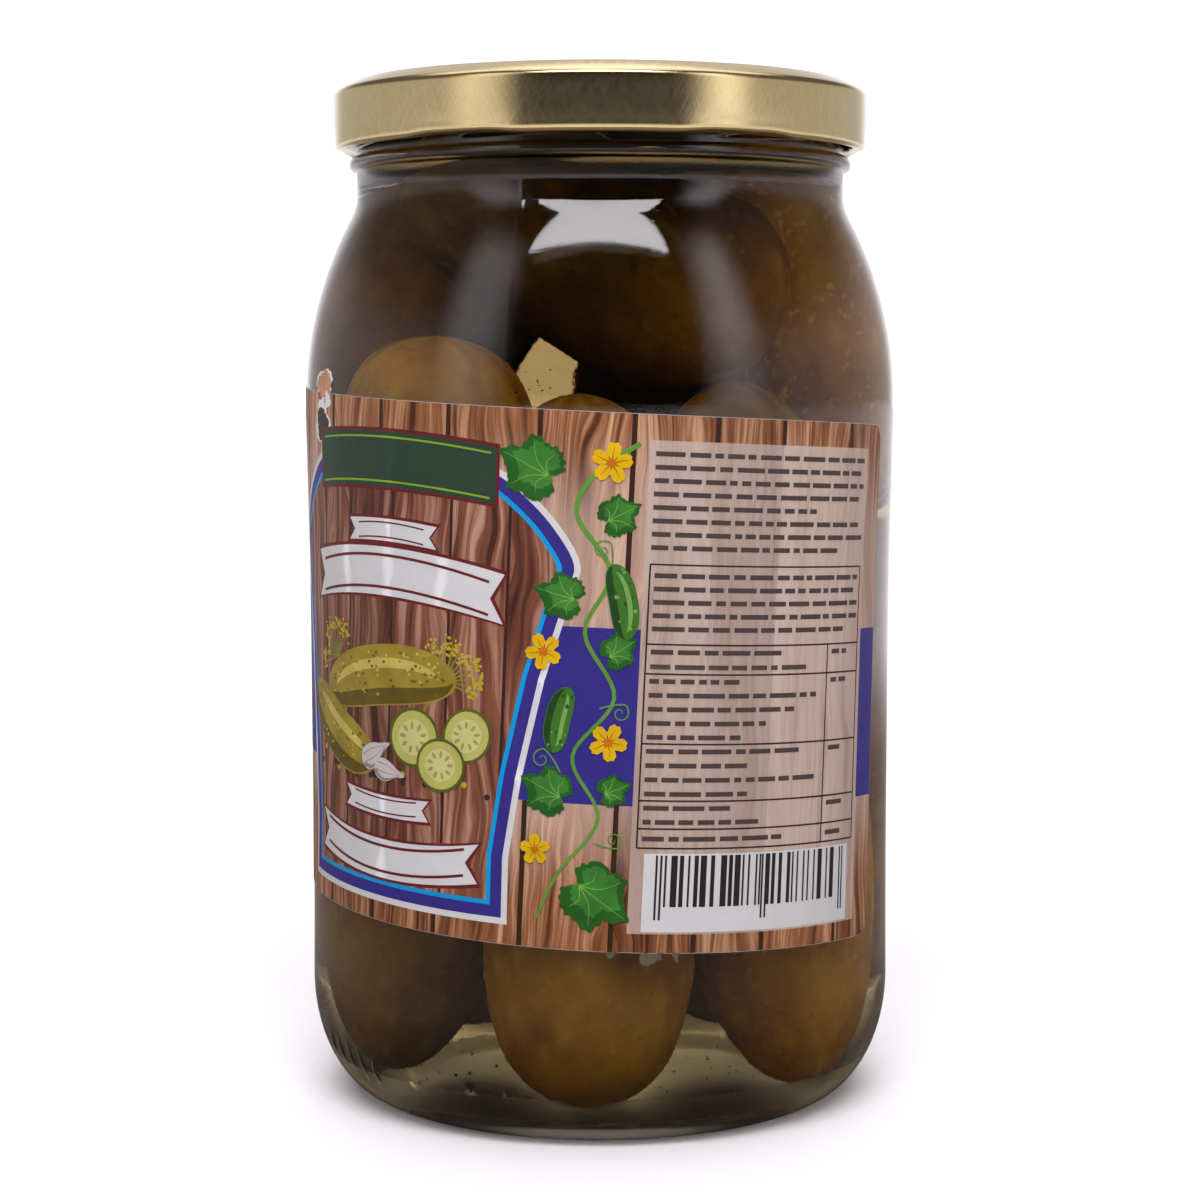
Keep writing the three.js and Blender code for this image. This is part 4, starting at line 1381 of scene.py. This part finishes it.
def label_vine(art):
    """A cucumber plant that climbs between the front and the small print."""
    stem = curve_through([(4.2, 35.6), (-1.6, 31.5), (-4.6, 25.0), (0.8, 16.5), (-2.6, 7.5), (2.2, -2.0),
                          (-3.6, -11.0), (0.6, -20.0), (-5.0, -28.5), (-8.0, -35.5)], 8)
    art.add(9, "stem", stroke(stem, 0.75, 0.6))
    green = ("gherkin", "gherkin_dark", "gherkin_light", "gherkin_wart")
    leaves = ((-10.5, 31.0, 6.6, 2.7), (1.0, 24.6, 4.3, 0.5), (-5.6, 12.6, 4.9, 2.9), (2.0, 4.6, 3.8, 0.6),
              (-6.4, -16.6, 5.2, 2.7), (-0.2, -31.2, 7.2, -0.6), (2.2, -16.0, 3.4, 0.4))
    for u, v, size, turn in leaves:
        paint_leaf(art, 12, u, v, size, turn)
    flowers = ((0.2, 32.6, 2.9, 0.2), (-8.6, 4.4, 2.6, 0.8), (1.6, -8.6, 2.7, 1.1), (-8.6, -25.2, 2.2, 0.4))
    for u, v, size, turn in flowers:
        paint_flower(art, 15, u, v, size, turn)
    paint_gherkin(art, 15, 2.4, 12.2, 11.5, 4.3, -1.35, 0.5, green, 12)
    paint_gherkin(art, 15, -5.6, -5.6, 10.0, 3.9, -1.75, -0.4, green, 13)
    curls = ((-0.5, 19.8, 1.5, 2.2, 1), (3.2, -4.2, 1.4, -0.4, -1), (-8.2, -11.6, 1.5, 2.8, 1),
             (3.0, -23.2, 1.3, 0.4, 1))
    for curl in curls:
        paint_curl(art, 10, *curl)


def ragged(cx, cy, wide, high, seed, rough=0.12, steps=40):
    """An ellipse with a torn edge."""
    draw = np.random.default_rng(seed)
    reach = 1 + rough * draw.uniform(-1, 1, steps) + rough * np.sin(3 * even(steps) + draw.uniform(0, TAU))
    return [(cx + wide * r * math.cos(a), cy + high * r * math.sin(a)) for r, a in zip(reach, even(steps))]


def label_damage(inks):
    """A torn spot at the front's upper left, a scrap of paper above it, and glue below the lower edge."""
    scrap = ragged(-55.2, 41.3, 3.3, 2.3, 3)
    printed("label_scrap", [scrap], 1, inks["torn"], back=PAPER_BACK)
    printed("label_scrap_print", [ragged(-55.1, 41.2, 2.85, 2.0, 4, 0.14)], 2, inks["scrap"])
    tear = [ragged(-55.5, 35.4, 3.0, 3.2, 5, 0.14), ragged(-53.4, 38.8, 1.1, 1.2, 6, 0.2)]
    printed("label_tear", tear, 3, inks["torn"])
    printed("label_hole", [ragged(-55.6, 35.1, 2.4, 2.5, 7, 0.12)], 4, inks["bare_glass"])
    flakes = [ragged(3.4, -39.9, 1.0, 0.9, 8, 0.2), ragged(9.6, -39.9, 1.5, 1.9, 9, 0.2),
              ragged(13.4, -39.9, 0.6, 1.3, 10, 0.2)]
    printed("glue_flakes", flakes, 0, inks["glue"], back=PAPER_BACK)


def label():
    inks = {}
    for name, (colour, vary) in INKS.items():
        inks[name] = print_material("print_" + name, ink(*colour), vary)
    label_paper()
    label_boards()
    label_front(inks)
    label_plaque(inks)
    label_titles(inks)
    label_info(inks)
    label_damage(inks)
    art = Art()
    label_food(art)
    label_vine(art)
    art.make(inks)


# Room: floor, light and camera

def floor():
    bpy.ops.mesh.primitive_plane_add(size=12, location=(0, 0, 0))
    plane = bpy.context.object
    plane.name = "floor"
    plane.data.materials.append(floor_material())


# Light tent: where its screens and sides are, in degrees round the jar from the camera's side, how strong
# each part is, and the lamp above the camera, the upper half of an ellipse in a plane one unit from the jar
TENT_COLOUR = (1.0, 0.972, 1.0, 1)
LEFT_SCREEN, LEFT_STRENGTH = (-62, -40), 1.6
RIGHT_SCREEN, RIGHT_STRENGTH = (44, 62), 2.1
SIDES_FROM, SIDES_STRENGTH = 56, 0.6
BEHIND_FROM, BEHIND_STRENGTH = 155, 0.62
OVERHEAD_STRENGTH = 1.5
UNDER_STRENGTH = 0.1
DARK_OPENING = 0.025
LAMP_LOW, LAMP_HALF_WIDTH, LAMP_HEIGHT, LAMP_STRENGTH = 1.12, 0.68, 0.8, 11.0
# Turns an eased climb into a fall
FALLING = {"To_Min": 1.0, "To_Max": 0.0}


def world():
    """A white light tent: a dark opening round the camera, a screen on each side of it, a lamp above it."""
    tent = bpy.data.worlds.new("light_tent")
    bpy.context.scene.world = tent
    tent.use_nodes = True
    tree = tent.node_tree
    tree.nodes.clear()
    x, y, z = split(tree, add_node(tree, "TexCoord").outputs["Generated"])
    ahead = times(tree, y, -1.0)
    azimuth = maths(tree, "ARCTAN2", x, ahead)
    off_centre = maths(tree, "ABSOLUTE", azimuth)
    elevation = maths(tree, "ARCSINE", z)

    def step(value, edge, soft, **ends):
        return eased(tree, value, edge - soft, edge + soft, **ends)

    def turn_step(angle, edge, soft, **ends):
        return step(angle, math.radians(edge), math.radians(soft), **ends)

    def window(angle, low, high, soft):
        return times(tree, turn_step(angle, low, soft), turn_step(angle, high, soft, **FALLING))

    not_high = turn_step(elevation, 44, 7, **FALLING)
    # The screens are weaker low down, where the lid mirrors them
    climbing = plus(tree, 0.66, times(tree, 0.34, turn_step(elevation, 15, 6)))
    left_screen = times(tree, window(azimuth, *LEFT_SCREEN, 8), not_high, climbing, LEFT_STRENGTH)
    right_screen = times(tree, window(azimuth, *RIGHT_SCREEN, 8), not_high, climbing, RIGHT_STRENGTH)
    # The sides fade with height
    fading = plus(tree, 0.2, times(tree, 0.8, turn_step(elevation, 17, 8, **FALLING)))
    sides = times(tree, window(off_centre, SIDES_FROM, 200, 12), fading, SIDES_STRENGTH)
    behind = times(tree, window(off_centre, BEHIND_FROM, 200, 10), BEHIND_STRENGTH)
    # The top is lit from straight above, and over the back from lower down, where the lid's bevel mirrors it
    above_back = times(tree, turn_step(elevation, 50, 6), step(y, 0.05, 0.05))
    overhead = times(tree, maths(tree, "MAXIMUM", turn_step(elevation, 70, 6), above_back), OVERHEAD_STRENGTH)
    under = times(tree, turn_step(elevation, -3, 3, **FALLING), UNDER_STRENGTH)
    reach = maths(tree, "MAXIMUM", ahead, 0.001)
    up = maths(tree, "DIVIDE", z, reach)
    wide = maths(tree, "DIVIDE", maths(tree, "DIVIDE", x, reach), LAMP_HALF_WIDTH)
    tall = maths(tree, "DIVIDE", maths(tree, "SUBTRACT", up, LAMP_LOW), LAMP_HEIGHT)
    round_off = plus(tree, maths(tree, "POWER", wide, 2.0), maths(tree, "POWER", tall, 2.0))
    in_lamp = step(round_off, 1.0, 0.05, **FALLING)
    lamp = times(tree, in_lamp, step(up, LAMP_LOW, 0.015), step(ahead, 0.1, 0.05))
    glow = plus(tree, DARK_OPENING, left_screen, right_screen, sides, behind, overhead,
                times(tree, lamp, LAMP_STRENGTH), under)
    shown = maths(tree, "MAXIMUM", glow, add_node(tree, "LightPath").outputs["Is Camera Ray"])
    background = add_node(tree, "Background", Color=TENT_COLOUR, Strength=shown)
    output = add_node(tree, "OutputWorld")
    fill(tree, output.inputs["Surface"], background.outputs[0])


FILL_SIZE, FILL_POWER, FILL_COLOUR = 1.0, 10.0, (1.0, 0.96, 1.0)


def fill_lamp():
    """A large soft lamp over the camera that lights label and floor and doesn't mirror in glass or lid."""
    data = bpy.data.lights.new("fill_lamp", "AREA")
    data.shape = "SQUARE"
    data.size = FILL_SIZE
    data.energy = FILL_POWER
    data.color = FILL_COLOUR
    lamp = bpy.data.objects.new("fill_lamp", data)
    lamp.location = (0, -1.2, 0.9)
    lamp.rotation_euler = (math.radians(56), 0, 0)
    lamp.visible_glossy = False
    lamp.visible_transmission = False
    bpy.context.scene.collection.objects.link(lamp)


def camera():
    """The camera in front of the jar, looking slightly down."""
    data = bpy.data.cameras.new("camera")
    data.sensor_width = SENSOR_MM
    data.lens = SENSOR_MM * FOCAL_PIXELS / PHOTO_PIXELS
    data.clip_start = 0.01
    eye = bpy.data.objects.new("camera", data)
    eye.location = (0, -CAMERA_DISTANCE * MM, CAMERA_HEIGHT * MM)
    eye.rotation_euler = (math.pi / 2 - CAMERA_PITCH, 0, 0)
    bpy.context.scene.collection.objects.link(eye)
    bpy.context.scene.camera = eye


def colour_management():
    view = bpy.context.scene.view_settings
    view.view_transform = "Standard"
    view.look = "None"
    view.exposure = 0.0


camera()
colour_management()
world()
fill_lamp()
floor()
glass_jar()
brine()
pickles()
specks()
lid()
label()
